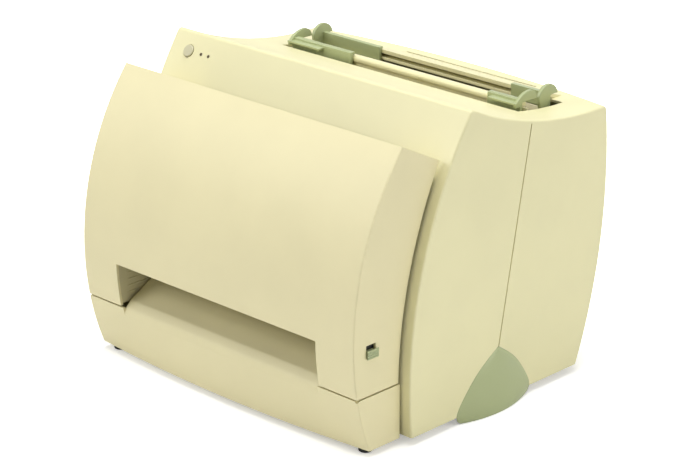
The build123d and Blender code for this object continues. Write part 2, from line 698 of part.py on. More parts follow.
TOP_FALL = (DOOR_TOP_REAR[1] - DOOR_TOP_FRONT[1]) / (DOOR_TOP_REAR[0] - DOOR_TOP_FRONT[0])


def above_door(drop):
    """Corners of the space above the door's sloped top, some way under it."""
    front, rear = DOOR_TOP_FRONT, DOOR_TOP_REAR
    top = front[1] + FAR_BEYOND
    return [(front[0] - FAR_BEYOND, front[1] - drop), (front[0], front[1] - drop), (rear[0], rear[1] - drop),
            (rear[0] + FAR_BEYOND, rear[1] - drop + FAR_BEYOND * TOP_FALL),
            (rear[0] + FAR_BEYOND, top), (front[0] - FAR_BEYOND, top)]


def on_door_front(edge):
    """True for the long side edges of the door's outer face."""
    middle = edge @ 0.5
    off_arc = hypot(middle.Y - DOOR_CENTRE[0], middle.Z - DOOR_CENTRE[1]) - DOOR_RADIUS
    return edge.length > FAR_BEYOND and abs(off_arc) < FIT and abs(middle.X) > SLOT_HALF_WIDTH


window_y = (LEVER_WINDOW[0] + LEVER_WINDOW[1]) / 2
window_z = (LEVER_WINDOW[2] + LEVER_WINDOW[3]) / 2
rail_shift = LEVER_PLATE[1] / 2 + RAIL_SIZE[1] / 2 + RAIL_GAP
with BuildPart() as door_shell:
    extrude(door_outline(Plane.YZ, 0, 0, DOOR_BOTTOM, DOOR_TOP_FRONT[1]), amount=DOOR_HALF, both=True)
    add(bar_across(above_door(0), -DOOR_HALF - WALL, 2 * (DOOR_HALF + WALL)), mode=Mode.SUBTRACT)
    fillet(door_shell.edges().filter_by(on_door_front), radius=DOOR_ROUND)
    extrude(door_outline(Plane.YZ, WALL, -SLOT_CUT_DEPTH, DOOR_BOTTOM - BEYOND, DOOR_TOP_FRONT[1] + BEYOND),
            amount=DOOR_HALF - WALL, both=True, mode=Mode.SUBTRACT)
    with Locations((0, door_y(SLOT_TOP), DOOR_BOTTOM)):
        Box(2 * SLOT_HALF_WIDTH, SLOT_CUT_DEPTH, 2 * (SLOT_TOP - DOOR_BOTTOM), mode=Mode.SUBTRACT)
    # lever window and the rails that guide the lever
    with Locations((DOOR_HALF, window_y, window_z)):
        Box(4 * WALL, LEVER_WINDOW[1] - LEVER_WINDOW[0], LEVER_WINDOW[3] - LEVER_WINDOW[2], mode=Mode.SUBTRACT)
    for side in (-1, 1):
        with Locations((DOOR_HALF - WALL - RAIL_SIZE[0] / 2, window_y + side * rail_shift, window_z + LEVER_DROP)):
            Box(*RAIL_SIZE)
save("door_shell", door_shell.part)

liner_path = [LINER_TOP, LINER_HOLLOW, LINER_SHELF_FRONT, LINER_SHELF_REAR, LINER_KNEE, LINER_THROAT,
              LINER_BROW, LINER_LIP]
PINCH_AXIS = (TOP_EXIT_AXIS[0] - TOP_EXIT_RADIUS - FIT - PINCH_RADIUS, TOP_EXIT_AXIS[1])
shelf = [(door_y(ARM_TOP, WALL + FIT), ARM_TOP), (step_y(ARM_TOP, DOOR_GAP + LINER_WALL), ARM_TOP)]
rim_front = door_y(RIM_PLATE_Z, WALL) + LINER_SIDE_GAP
rim_rear_z = RIM_PLATE_Z + (RIM_PLATE_REAR - rim_front + LINER_SIDE_GAP) * TOP_FALL
rim_plate = [(rim_front, RIM_PLATE_Z), (RIM_PLATE_REAR, rim_rear_z)]
arm = [(HINGE[0], HINGE[1] - HINGE_HUB_RADIUS), (HINGE[0] + ARM_REACH + ARM_WIDTH, HINGE[1] - HINGE_HUB_RADIUS),
       (HINGE[0] + ARM_REACH + ARM_WIDTH, ARM_TOP), (HINGE[0] + ARM_REACH, ARM_TOP),
       (HINGE[0] + ARM_REACH, HINGE[1] + HINGE_HUB_RADIUS), (HINGE[0], HINGE[1] + HINGE_HUB_RADIUS)]
with BuildPart() as door_liner:
    for start in (-SLOT_HALF_WIDTH - LINER_WALL, SLOT_HALF_WIDTH):
        extrude(door_outline(Plane.YZ.offset(start), WALL, LINER_SIDE_GAP, DOOR_BOTTOM + LINER_SIDE_FOOT,
                             LINER_SIDE_TOP), amount=LINER_WALL)
    add(bent_plate(liner_path, LINER_WALL, LINER_BEND, -SLOT_HALF_WIDTH, 2 * SLOT_HALF_WIDTH))
    add(bar_across(above_door(RIM_DROP), -SLOT_HALF_WIDTH - LINER_WALL, 2 * (SLOT_HALF_WIDTH + LINER_WALL)),
        mode=Mode.SUBTRACT)
    for start in (-DOOR_HALF + WALL, SLOT_HALF_WIDTH):
        add(bent_plate(rim_plate, LINER_WALL, 0, start, DOOR_HALF - WALL - SLOT_HALF_WIDTH))
        add(bent_plate(shelf, LINER_WALL, 0, start, DOOR_HALF - WALL - SLOT_HALF_WIDTH))
    for start in (-ARM_OUTER_X, ARM_INNER_X):
        add(bar_across(arm, start, ARM_OUTER_X - ARM_INNER_X))
        add(rod_across([HINGE], HINGE_HUB_RADIUS, start, start + ARM_OUTER_X - ARM_INNER_X))
        add(rod_across([HINGE], HINGE_PIN_RADIUS + RUNNING_CLEARANCE, start, start + ARM_OUTER_X - ARM_INNER_X),
            mode=Mode.SUBTRACT)
    add(rod_across([DEFLECTOR_AXIS, PINCH_AXIS], PINCH_SHAFT_RADIUS + RUNNING_CLEARANCE, -DOOR_HALF, DOOR_HALF),
        mode=Mode.SUBTRACT)
save("door_liner", door_liner.part)

door_shaft_end = SLOT_HALF_WIDTH + LINER_WALL
with BuildPart() as pinch_rollers:
    add(rod_across([PINCH_AXIS], PINCH_SHAFT_RADIUS, -door_shaft_end, door_shaft_end))
    add(rod_across([PINCH_AXIS], PINCH_RADIUS, *PINCH_SPAN))
    add(rod_across([PINCH_AXIS], PINCH_RADIUS, -PINCH_SPAN[1], -PINCH_SPAN[0]))
save("pinch_rollers", pinch_rollers.part)

flap_half = SLOT_HALF_WIDTH - DEFLECTOR_SIDE_GAP
flap_tip = (DEFLECTOR_AXIS[0] + DEFLECTOR_REACH[0], DEFLECTOR_AXIS[1] + DEFLECTOR_REACH[1])
with BuildPart() as paper_deflector:
    add(bent_plate([DEFLECTOR_AXIS, flap_tip], DEFLECTOR_WALL, 0, -flap_half, 2 * flap_half))
    add(rod_across([DEFLECTOR_AXIS], PINCH_SHAFT_RADIUS, -door_shaft_end, door_shaft_end))
save("paper_deflector", paper_deflector.part)

plate_x = DOOR_HALF - WALL - FIT
knob_low = LEVER_WINDOW[2] + LEVER_MARGIN
knob_height = LEVER_WINDOW[3] - LEVER_WINDOW[2] - LEVER_TRAVEL - 2 * LEVER_MARGIN
knob_width = LEVER_WINDOW[1] - LEVER_WINDOW[0] - 2 * LEVER_MARGIN
ridge_pitch = knob_height / LEVER_RIDGES
with BuildPart() as paper_path_lever:
    with Locations((plate_x - LEVER_PLATE[0] / 2, window_y, window_z - LEVER_DROP)):
        Box(*LEVER_PLATE)
    with Locations((plate_x + LEVER_KNOB_DEPTH / 2, window_y, knob_low + knob_height / 2)):
        Box(LEVER_KNOB_DEPTH, knob_width, knob_height)
    for index in range(LEVER_RIDGES):
        with Locations((plate_x + LEVER_KNOB_DEPTH, window_y, knob_low + ridge_pitch * (index + 0.5))):
            Box(2 * LEVER_RIDGE_RISE, knob_width, ridge_pitch / 2)
save("paper_path_lever", paper_path_lever.part)


# Feet
def foot(side):
    """Green stabiliser: a bullet shape standing out of the side, with a pad under the case."""
    with BuildPart() as piece:
        for index in range(FOOT_SECTIONS):
            share = (1 - cos(pi * index / (FOOT_SECTIONS - 1))) / 2
            half = FOOT_HALF_WIDTH * (1 - share * share) * (1 if index else FOOT_TUCK_WIDTH) + FOOT_TOP_HALF
            out = FOOT_STANDOUT * (1 - share ** FOOT_FALL) * (1 if index else FOOT_TUCK_REACH) + FOOT_TOP_REACH
            middle = FOOT_MIDDLE_Y + FOOT_LEAN * share
            with BuildSketch(Plane.XY.offset(FOOT_HEIGHT * share)):
                with BuildLine():
                    ThreePointArc((side * CASE_HALF, middle - half), (side * (CASE_HALF + out), middle),
                                  (side * CASE_HALF, middle + half))
                    Line((side * CASE_HALF, middle + half), (side * CASE_HALF, middle - half))
                make_face()
        loft()
        with BuildSketch(Plane.XY):
            with Locations((side * (CASE_HALF - FOOT_PAD[0] / 2), FOOT_MIDDLE_Y)):
                RectangleRounded(*FOOT_PAD, FOOT_PAD_ROUND)
            with Locations((side * (CASE_HALF - FOOT_WEB[0] / 2), FOOT_MIDDLE_Y)):
                Rectangle(*FOOT_WEB)
        extrude(amount=CASE_BOTTOM)
    return piece.part


save("foot_left", foot(-1))
save("foot_right", foot(1))

with BuildPart() as rubber_feet:
    for place, radius, height in ((FRONT_RUBBER, FRONT_RUBBER_RADIUS, FRONT_BOTTOM),
                                  (REAR_RUBBER, REAR_RUBBER_RADIUS, PAN_LOW)):
        with BuildSketch(Plane.XY):
            with Locations((-place[0], place[1]), place):
                Circle(radius)
        extrude(amount=height)
save("rubber_feet", rubber_feet.part)


# Drive train
def gear_radius(teeth):
    return MODULE * teeth / 2


def meet(first, first_reach, second, second_reach, turn):
    """Point at two given distances from two others, on one side of the line between them."""
    dy = second[0] - first[0]
    dz = second[1] - first[1]
    span = hypot(dy, dz)
    along = (first_reach ** 2 - second_reach ** 2 + span ** 2) / (2 * span)
    across = turn * sqrt(first_reach ** 2 - along ** 2)
    return (first[0] + (dy * along - dz * across) / span, first[1] + (dz * along + dy * across) / span)


def reach(first_teeth, second_teeth):
    return gear_radius(first_teeth + second_teeth)


feed_reach = reach(DRUM_TEETH, FEED_TEETH)
pinion_reach = reach(DRUM_TEETH, PINION_TEETH)
exit_reach = reach(PRESSURE_TEETH, EXIT_TEETH)
FEED_AXIS = (DRUM_AXIS[0] + feed_reach * cos(FEED_ANGLE), DRUM_AXIS[1] + feed_reach * sin(FEED_ANGLE))
PINION_AXIS = (DRUM_AXIS[0] + pinion_reach * cos(PINION_ANGLE), DRUM_AXIS[1] + pinion_reach * sin(PINION_ANGLE))
PICKUP_IDLER_AXIS = meet(FEED_AXIS, reach(FEED_TEETH, PICKUP_IDLER_TEETH),
                         PICKUP_AXIS, reach(PICKUP_TEETH, PICKUP_IDLER_TEETH), -1)
FUSER_IDLER_AXIS = meet(DRUM_AXIS, reach(DRUM_TEETH, FUSER_IDLER_TEETH),
                        PRESSURE_AXIS, reach(PRESSURE_TEETH, FUSER_IDLER_TEETH), -1)
EXIT_AXIS = (PRESSURE_AXIS[0] - sqrt(exit_reach ** 2 - (EXIT_Z - PRESSURE_AXIS[1]) ** 2), EXIT_Z)
EXIT_IDLER_AXIS = meet(FUSER_IDLER_AXIS, reach(FUSER_IDLER_TEETH, EXIT_IDLER_TEETH),
                       TOP_EXIT_AXIS, reach(TOP_EXIT_TEETH, EXIT_IDLER_TEETH), -1)
TRANSFER_AXIS = (DRUM_AXIS[0], DRUM_AXIS[1] - DRUM_RADIUS - TRANSFER_RADIUS - FIT)
FUSER_AXIS = (PRESSURE_AXIS[0], PRESSURE_AXIS[1] + PRESSURE_RADIUS + FUSER_RADIUS + FIT)

phases = {"drum_gear": 0.0}


def mesh_phase(name, teeth, axis, driver, driver_teeth, driver_axis):
    """Turn a gear so that its gap meets the driver's tooth."""
    bearing = atan2(axis[1] - driver_axis[1], axis[0] - driver_axis[0])
    driver_pitch = 2 * pi / driver_teeth
    share = ((bearing - phases[driver]) / driver_pitch) % 1.0
    phases[name] = bearing + pi + (share + 0.5) * 2 * pi / teeth
    return phases[name]


def gear(teeth, axis, phase, bore):
    """Spur gear with straight-sided teeth."""
    tip = gear_radius(teeth) + GEAR_ADDENDUM * MODULE
    root = gear_radius(teeth) - GEAR_DEDENDUM * MODULE
    flanks = ((root, -TOOTH_ROOT_SHARE), (tip, -TOOTH_TIP_SHARE), (tip, TOOTH_TIP_SHARE), (root, TOOTH_ROOT_SHARE))
    corners = []
    for index in range(teeth):
        for radius, share in flanks:
            angle = phase + (index + share) * 2 * pi / teeth
            corners.append((axis[0] + radius * cos(angle), axis[1] + radius * sin(angle)))
    with BuildPart() as wheel:
        with BuildSketch(Plane.YZ.offset(GEAR_OUTER_X)):
            with BuildLine():
                Polyline(*corners, close=True)
            make_face()
            with Locations(axis):
                Circle(bore, mode=Mode.SUBTRACT)
        extrude(amount=GEAR_WIDTH)
        if teeth >= WEB_TEETH:
            with BuildSketch(Plane.YZ.offset(GEAR_OUTER_X)):
                with Locations(axis):
                    Circle(root - WEB_RIM)
                    Circle(bore + WEB_HUB, mode=Mode.SUBTRACT)
            extrude(amount=GEAR_WIDTH * WEB_SHARE, mode=Mode.SUBTRACT)
    return wheel.part


loose_bore = STUD_RADIUS + RUNNING_CLEARANCE
train = [
    ("feed_gear", FEED_TEETH, FEED_AXIS, "drum_gear", DRUM_TEETH, DRUM_AXIS, SHAFT_RADIUS),
    ("motor_pinion", PINION_TEETH, PINION_AXIS, "drum_gear", DRUM_TEETH, DRUM_AXIS, loose_bore),
    ("pickup_idler", PICKUP_IDLER_TEETH, PICKUP_IDLER_AXIS, "feed_gear", FEED_TEETH, FEED_AXIS, loose_bore),
    ("pickup_gear", PICKUP_TEETH, PICKUP_AXIS, "pickup_idler", PICKUP_IDLER_TEETH, PICKUP_IDLER_AXIS,
     SHAFT_RADIUS),
    ("fuser_idler", FUSER_IDLER_TEETH, FUSER_IDLER_AXIS, "drum_gear", DRUM_TEETH, DRUM_AXIS, loose_bore),
    ("pressure_gear", PRESSURE_TEETH, PRESSURE_AXIS, "fuser_idler", FUSER_IDLER_TEETH, FUSER_IDLER_AXIS,
     SHAFT_RADIUS),
    ("exit_gear", EXIT_TEETH, EXIT_AXIS, "pressure_gear", PRESSURE_TEETH, PRESSURE_AXIS, SHAFT_RADIUS),
    ("exit_idler", EXIT_IDLER_TEETH, EXIT_IDLER_AXIS, "fuser_idler", FUSER_IDLER_TEETH, FUSER_IDLER_AXIS,
     loose_bore),
    ("top_exit_gear", TOP_EXIT_TEETH, TOP_EXIT_AXIS, "exit_idler", EXIT_IDLER_TEETH, EXIT_IDLER_AXIS,
     SHAFT_RADIUS),
]
save("drum_gear", gear(DRUM_TEETH, DRUM_AXIS, phases["drum_gear"], SHAFT_RADIUS))
for name, teeth, axis, driver, driver_teeth, driver_axis, bore in train:
    save(name, gear(teeth, axis, mesh_phase(name, teeth, axis, driver, driver_teeth, driver_axis), bore))
    print("gear", name, teeth, [round(v, 3) for v in axis])

# Side frames of the chassis
SHAFT_AXES = [DRUM_AXIS, TRANSFER_AXIS, PRESSURE_AXIS, FUSER_AXIS, PICKUP_AXIS, FEED_AXIS, EXIT_AXIS,
              TOP_EXIT_AXIS]
STUD_AXES = [PICKUP_IDLER_AXIS, FUSER_IDLER_AXIS, EXIT_IDLER_AXIS]


def chassis(side):
    """Steel side frame with a bearing hole for each shaft, and the idlers' studs on the left."""
    start = CHASSIS_X if side > 0 else -CHASSIS_X - CHASSIS_THICKNESS
    holes = SHAFT_AXES + ([PINION_AXIS] if side < 0 else [])
    with BuildPart() as plate:
        extrude(case_outline(Plane.YZ.offset(start), CHASSIS_INSET, PAN_TOP, CASE_TOP, CHASSIS_REAR),
                amount=CHASSIS_THICKNESS)
        add(rod_across(holes, SHAFT_RADIUS + RUNNING_CLEARANCE, start, start + CHASSIS_THICKNESS),
            mode=Mode.SUBTRACT)
        if side < 0:
            add(rod_across(STUD_AXES, STUD_RADIUS, GEAR_OUTER_X, start))
    return plate.part


save("chassis_left", chassis(-1))
save("chassis_right", chassis(1))


# Rollers
def rollers(axis, radius, spans, left=GEAR_OUTER_X):
    """Shaft with rollers along it."""
    with BuildPart() as piece:
        add(rod_across([axis], SHAFT_RADIUS, left, SHAFT_RIGHT))
        for low, high in spans:
            add(rod_across([axis], radius, low, high))
    return piece.part


def sleeve(axis, radius, half):
    """Rubber sleeve on a shaft."""
    with BuildPart() as piece:
        add(rod_across([axis], radius, -half, half))
        add(rod_across([axis], SHAFT_RADIUS, -half, half), mode=Mode.SUBTRACT)
    return piece.part


frame_end = -CHASSIS_X - CHASSIS_THICKNESS - SHAFT_END
full_span = [(-DRUM_HALF, DRUM_HALF)]
exit_spans = [(-EXIT_ROLLER_SPAN[1], -EXIT_ROLLER_SPAN[0]), EXIT_ROLLER_SPAN]
save("drum", rollers(DRUM_AXIS, DRUM_RADIUS, full_span))
save("transfer_roller", rollers(TRANSFER_AXIS, TRANSFER_RADIUS, full_span, left=frame_end))
save("pressure_roller", rollers(PRESSURE_AXIS, PRESSURE_RADIUS, full_span))
save("fuser_roller", rollers(FUSER_AXIS, FUSER_RADIUS, full_span, left=frame_end))
save("exit_roller", rollers(EXIT_AXIS, EXIT_RADIUS, exit_spans))
save("top_exit_roller", rollers(TOP_EXIT_AXIS, TOP_EXIT_RADIUS, exit_spans))
save("pickup_shaft", rollers(PICKUP_AXIS, SHAFT_RADIUS, []))
save("pickup_roller", sleeve(PICKUP_AXIS, PICKUP_RADIUS, PICKUP_HALF))
save("feed_shaft", rollers(FEED_AXIS, SHAFT_RADIUS, []))
save("feed_roller", sleeve(FEED_AXIS, FEED_RADIUS, FEED_HALF))

with BuildPart() as drive_motor:
    add(rod_across([PINION_AXIS], MOTOR_RADIUS, -CHASSIS_X, -CHASSIS_X + MOTOR_LENGTH))
    add(rod_across([PINION_AXIS], SHAFT_RADIUS, GEAR_OUTER_X, -CHASSIS_X + MOTOR_OVERLAP))
save("drive_motor", drive_motor.part)

# Imaging and scanning
with BuildPart() as cartridge_housing:
    with BuildSketch(Plane.YZ.offset(-CARTRIDGE_HALF)):
        with BuildLine():
            FilletPolyline((CARTRIDGE_FRONT, CARTRIDGE_FRONT_LOW), (CARTRIDGE_FRONT, CARTRIDGE_FRONT_TOP),
                           CARTRIDGE_CREST, (CARTRIDGE_REAR, CARTRIDGE_REAR_TOP),
                           (CARTRIDGE_REAR, CARTRIDGE_REAR_LOW), (CARTRIDGE_KEEL_REAR, CARTRIDGE_KEEL_Z),
                           (CARTRIDGE_KEEL_FRONT, CARTRIDGE_KEEL_Z), radius=CARTRIDGE_ROUND, close=True)
        make_face()
    extrude(amount=2 * CARTRIDGE_HALF)
    drum_room = DRUM_HALF + DRUM_END_CLEARANCE
    add(rod_across([DRUM_AXIS], DRUM_RADIUS + DRUM_CLEARANCE, -drum_room, drum_room), mode=Mode.SUBTRACT)
    add(rod_across([DRUM_AXIS], SHAFT_RADIUS + RUNNING_CLEARANCE, -CHASSIS_X, CHASSIS_X), mode=Mode.SUBTRACT)
save("cartridge_housing", cartridge_housing.part)

plate_low = SCAN_PLATE_Z - SCAN_PLATE[1] / 2
plate_high = SCAN_PLATE_Z + SCAN_PLATE[1] / 2
with BuildPart() as scanner_plate:
    with Locations((0, SCAN_PLATE_Y, SCAN_PLATE_Z)):
        Box(2 * CHASSIS_X, *SCAN_PLATE)
    with Locations((0, SCAN_WINDOW_Y, SCAN_PLATE_Z)):
        Box(*SCAN_WINDOW, SCAN_PLATE[1], mode=Mode.SUBTRACT)
save("scanner_plate", scanner_plate.part)

with BuildPart() as scanner_housing:
    with Locations((0, SCANNER_Y, plate_high)):
        Box(*SCANNER_SIZE, align=(Align.CENTER, Align.CENTER, Align.MIN))
    with Locations((0, SCANNER_Y, plate_high + SCANNER_WALL)):
        Box(SCANNER_SIZE[0] - 2 * SCANNER_WALL, SCANNER_SIZE[1] - 2 * SCANNER_WALL, SCANNER_SIZE[2],
            align=(Align.CENTER, Align.CENTER, Align.MIN), mode=Mode.SUBTRACT)
    with Locations((0, SCAN_WINDOW_Y, plate_high)):
        Box(*SCANNER_BEAM, 2 * SCANNER_WALL, mode=Mode.SUBTRACT)
    with Locations((*MIRROR_PLACE, plate_high + SCANNER_WALL)):
        Cylinder(*MIRROR_POST, align=(Align.CENTER, Align.CENTER, Align.MIN))
save("scanner_housing", scanner_housing.part)

with BuildPart() as scanner_cover:
    with Locations((0, SCANNER_Y, plate_high + SCANNER_SIZE[2])):
        Box(*SCANNER_COVER, align=(Align.CENTER, Align.CENTER, Align.MIN))
        with GridLocations(SCANNER_RIB_PITCH, 0, SCANNER_RIBS, 1):
            Box(*SCANNER_RIB, align=(Align.CENTER, Align.CENTER, Align.MIN))
save("scanner_cover", scanner_cover.part)

rotor_low = plate_high + MIRROR_LIFT
with BuildPart() as polygon_mirror:
    with BuildSketch(Plane.XY.offset(rotor_low)):
        with Locations(MIRROR_PLACE):
            Circle(MIRROR_ROTOR[0])
    extrude(amount=MIRROR_ROTOR[1])
    with BuildSketch(Plane.XY.offset(rotor_low + MIRROR_ROTOR[1])):
        with Locations(MIRROR_PLACE):
            RegularPolygon(MIRROR_RADIUS, MIRROR_FACETS)
    extrude(amount=MIRROR_HEIGHT)
save("polygon_mirror", polygon_mirror.part)

frame_depth, frame_height = FUSER_FRAME_SIZE
with BuildPart() as fuser_frame:
    with Locations((0, FUSER_FRAME_Y, FUSER_FRAME_Z)):
        Box(2 * FUSER_FRAME_HALF, frame_depth, frame_height)
        Box(2 * (FUSER_FRAME_HALF - FUSER_FRAME_WALL[0]), frame_depth - 2 * FUSER_FRAME_WALL[1],
            frame_height + BEYOND, mode=Mode.SUBTRACT)
        Box(FUSER_GAP[0], 2 * frame_depth, FUSER_GAP[1], mode=Mode.SUBTRACT)
        for side in (-1, 1):
            with Locations((0, 0, side * (frame_height - FUSER_BAND) / 2)):
                Box(2 * FUSER_FRAME_HALF, frame_depth, FUSER_BAND)
    add(rod_across([PRESSURE_AXIS, FUSER_AXIS], SHAFT_RADIUS + FUSER_SHAFT_GAP, -CHASSIS_X, CHASSIS_X),
        mode=Mode.SUBTRACT)
    for start in (-CHASSIS_X, FUSER_FRAME_HALF):
        with BuildSketch(Plane.YZ.offset(start)):
            with Locations(*[(FUSER_TAB_Y, z) for z in FUSER_TAB_ZS]):
                Rectangle(*FUSER_TAB)
        extrude(amount=CHASSIS_X - FUSER_FRAME_HALF)
save("fuser_frame", fuser_frame.part)

# Paper input
chute_side = [(CHUTE_FRONT_HEAD[0] - CHUTE_SIDE_MARGIN, CHUTE_FRONT_HEAD[1]), CHUTE_REAR_HEAD,
              (CHUTE_REAR_FOOT[0] + CHUTE_SIDE_MARGIN, CHUTE_REAR_FOOT[1]),
              (CHUTE_FRONT_FOOT[0] - CHUTE_SIDE_MARGIN, CHUTE_FRONT_FOOT[1])]
with BuildPart() as input_chute:
    for path in ([CHUTE_FRONT_HEAD, CHUTE_FRONT_FOOT], [CHUTE_REAR_HEAD, CHUTE_REAR_FOOT]):
        add(bent_plate(path, WALL, 0, -CHUTE_HALF, 2 * CHUTE_HALF))
    for start in (-CHUTE_HALF, CHUTE_HALF - LINER_WALL):
        add(bar_across(chute_side, start, LINER_WALL))
    for start in (-CHASSIS_X, CHUTE_HALF):
        with BuildSketch(Plane.YZ.offset(start)):
            with Locations(*CHUTE_TABS):
                Rectangle(CHUTE_TAB_SIZE, CHUTE_TAB_SIZE)
        extrude(amount=CHASSIS_X - CHUTE_HALF)
save("input_chute", input_chute.part)

divider_half = CHUTE_HALF - LINER_WALL
divider_head_half = FIN_INNER_X - FIT
with BuildPart() as slot_divider:
    with BuildSketch(Plane.YZ.offset(-divider_head_half)):
        with Locations(((DIVIDER_FRONT + DIVIDER_REAR) / 2, DIVIDER_TOP - DIVIDER_HEAD / 2)):
            RectangleRounded(DIVIDER_REAR - DIVIDER_FRONT, DIVIDER_HEAD, DIVIDER_ROUND)
    extrude(amount=2 * divider_head_half)
    add(bent_plate([DIVIDER_NECK, DIVIDER_FOOT], WALL, 0, -divider_half, 2 * divider_half))
save("slot_divider", slot_divider.part)

with BuildPart() as feed_guide:
    add(bent_plate([FEED_GUIDE_REAR, FEED_GUIDE_MIDDLE, FEED_GUIDE_STEP, FEED_GUIDE_FRONT], LINER_WALL,
                   FEED_GUIDE_BEND, -CHASSIS_X, 2 * CHASSIS_X))
    add(bar_across(PAD_SEAT, -PAD_SEAT_HALF, 2 * PAD_SEAT_HALF))
save("feed_guide", feed_guide.part)

pad_touch = PICKUP_RADIUS + FIT
pad_point = (PICKUP_AXIS[0] + pad_touch * cos(PAD_ANGLE), PICKUP_AXIS[1] + pad_touch * sin(PAD_ANGLE))
with BuildPart() as separation_pad:
    pad_plane = Plane(origin=(0, *pad_point), x_dir=(1, 0, 0), z_dir=(0, cos(PAD_ANGLE), sin(PAD_ANGLE)))
    with BuildSketch(pad_plane):
        Rectangle(*PAD_SIZE[:2])
    extrude(amount=PAD_SIZE[2])
    add(feed_guide.part, mode=Mode.SUBTRACT)
save("separation_pad", separation_pad.part)


# Paper guides
def spans_on(side, reach_in, lip):
    """Left ends of the guide's plate, its end fin and its lip, on one side of the input."""
    outer = FIN_INNER_X + GUIDE_PLATE
    return [min(side * (outer - length), side * outer) for length in (reach_in, GUIDE_PLATE, lip)]


def front_guide(side, reach_in):
    """Guide of the single-sheet slot: plate before the divider, end fin and front lip."""
    face = DIVIDER_FRONT - FIT
    lip = min(reach_in - FRONT_LIP_SHORT, FRONT_LIP_LENGTH)
    plate_start, fin_start, lip_start = spans_on(side, reach_in, lip)
    plate_middle = (FRONT_PLATE_LOW + FRONT_PLATE_TOP) / 2
    with BuildPart() as piece:
        with BuildSketch(Plane.YZ.offset(plate_start)):
            with Locations((face - GUIDE_PLATE / 2, plate_middle)):
                Rectangle(GUIDE_PLATE, FRONT_PLATE_TOP - FRONT_PLATE_LOW)
            with Locations((face - GUIDE_PLATE / 2 + LINER_WALL, FRONT_BEAD_Z)):
                Rectangle(*FRONT_BEAD)
        extrude(amount=reach_in)
        with BuildSketch(Plane.YZ.offset(fin_start)):
            with BuildLine():
                ThreePointArc(FRONT_FIN_START, FRONT_FIN_RISE, FRONT_FIN_CREST)
                ThreePointArc(FRONT_FIN_CREST, FRONT_FIN_FALL, FRONT_FIN_END)
                Polyline(FRONT_FIN_END, (face, FRONT_FIN_END[1]), (face, FRONT_FIN_LOW),
                         (FRONT_FIN_START[0], FRONT_FIN_LOW), FRONT_FIN_START)
            make_face()
        extrude(amount=GUIDE_PLATE)
        with BuildSketch(Plane.YZ.offset(lip_start)):
            with Locations(((FRONT_FIN_START[0] + face) / 2 - RAIL_GAP, FRONT_LIP_Z)):
                Rectangle(face - FRONT_FIN_START[0] + FRONT_LIP_THICKNESS / 2, FRONT_LIP_THICKNESS)
        extrude(amount=lip)
    return piece.part


def rear_guide(side, reach_in):
    """Guide of the input bin: plate before the raised bar and a round end fin."""
    face = INPUT_REAR - FIT
    plate_start, fin_start, lip_start = spans_on(side, reach_in, GUIDE_PLATE)
    fin_middle = (REAR_FIN_FRONT + REAR_FIN_REAR) / 2
    with BuildPart() as piece:
        with BuildSketch(Plane.YZ.offset(plate_start)):
            with Locations((face - GUIDE_PLATE / 2, (REAR_PLATE_LOW + REAR_PLATE_TOP) / 2)):
                Rectangle(GUIDE_PLATE, REAR_PLATE_TOP - REAR_PLATE_LOW)
            with Locations((face - REAR_BEAD_SHIFT, BAR_FRONT_Z + REAR_BEAD_RISE)):
                Rectangle(*REAR_BEAD)
        extrude(amount=reach_in)
        with BuildSketch(Plane.YZ.offset(fin_start)):
            with BuildLine():
                ThreePointArc((REAR_FIN_FRONT, REAR_FIN_Z), (fin_middle, REAR_FIN_TOP), (REAR_FIN_REAR, REAR_FIN_Z))
                Polyline((REAR_FIN_REAR, REAR_FIN_Z), (face, REAR_FIN_Z), (face, REAR_FIN_LOW),
                         (REAR_FIN_FRONT + REAR_FIN_TUCK, REAR_FIN_LOW), (REAR_FIN_FRONT, REAR_FIN_Z))
            make_face()
        extrude(amount=GUIDE_PLATE)
    return piece.part


save("front_guide_left", front_guide(-1, LEFT_GUIDE_REACH))
save("front_guide_right", front_guide(1, FRONT_RIGHT_REACH))
save("rear_guide_left", rear_guide(-1, LEFT_GUIDE_REACH))
save("rear_guide_right", rear_guide(1, REAR_RIGHT_REACH))

# Control button, lamps and their board
slope = slope_plane(BUTTON_X, CONTROL_Z)
with BuildPart() as control_button:
    with BuildSketch(slope.offset(-BUTTON_SINK)):
        Circle(BUTTON_RADIUS)
    extrude(amount=BUTTON_SINK + BUTTON_PROUD)
    dome = control_button.faces().sort_by(lambda f: f.center().dot(slope.z_dir))[-1]
    fillet(dome.edges(), radius=BUTTON_DOME)
    with BuildSketch(slope.offset(-BUTTON_SINK - BUTTON_FLANGE_HEIGHT)):
        Circle(BUTTON_RADIUS + BUTTON_FLANGE)
    extrude(amount=BUTTON_FLANGE_HEIGHT)
save("control_button", control_button.part)

with BuildPart() as led_lenses:
    with BuildSketch(slope.offset(-CONTROL_BOARD_DEPTH)):
        with Locations(*[(x - BUTTON_X, 0) for x in LAMP_XS]):
            Circle(LAMP_RADIUS)
    extrude(amount=CONTROL_BOARD_DEPTH + LAMP_PROUD)
save("led_lenses", led_lenses.part)

board_back = slope.offset(-CONTROL_BOARD_DEPTH - BOARD_THICKNESS)
with BuildPart() as control_board:
    with BuildSketch(board_back):
        with Locations((CONTROL_BOARD_SHIFT, 0)):
            Rectangle(*CONTROL_BOARD_SIZE)
    extrude(amount=BOARD_THICKNESS)
    with BuildSketch(slope.offset(-CONTROL_BOARD_DEPTH)):
        Rectangle(SWITCH_SIZE, SWITCH_SIZE)
    extrude(amount=SWITCH_HEIGHT - BUTTON_TRAVEL)
    with BuildSketch(board_back):
        with Locations(*[(shift, 0) for shift in CONTROL_POST_SHIFTS]):
            Circle(CONTROL_POST_RADIUS)
    extrude(amount=CONTROL_BOARD_DEPTH + BOARD_THICKNESS - WALL - RUNNING_CLEARANCE)
save("control_board", control_board.part)

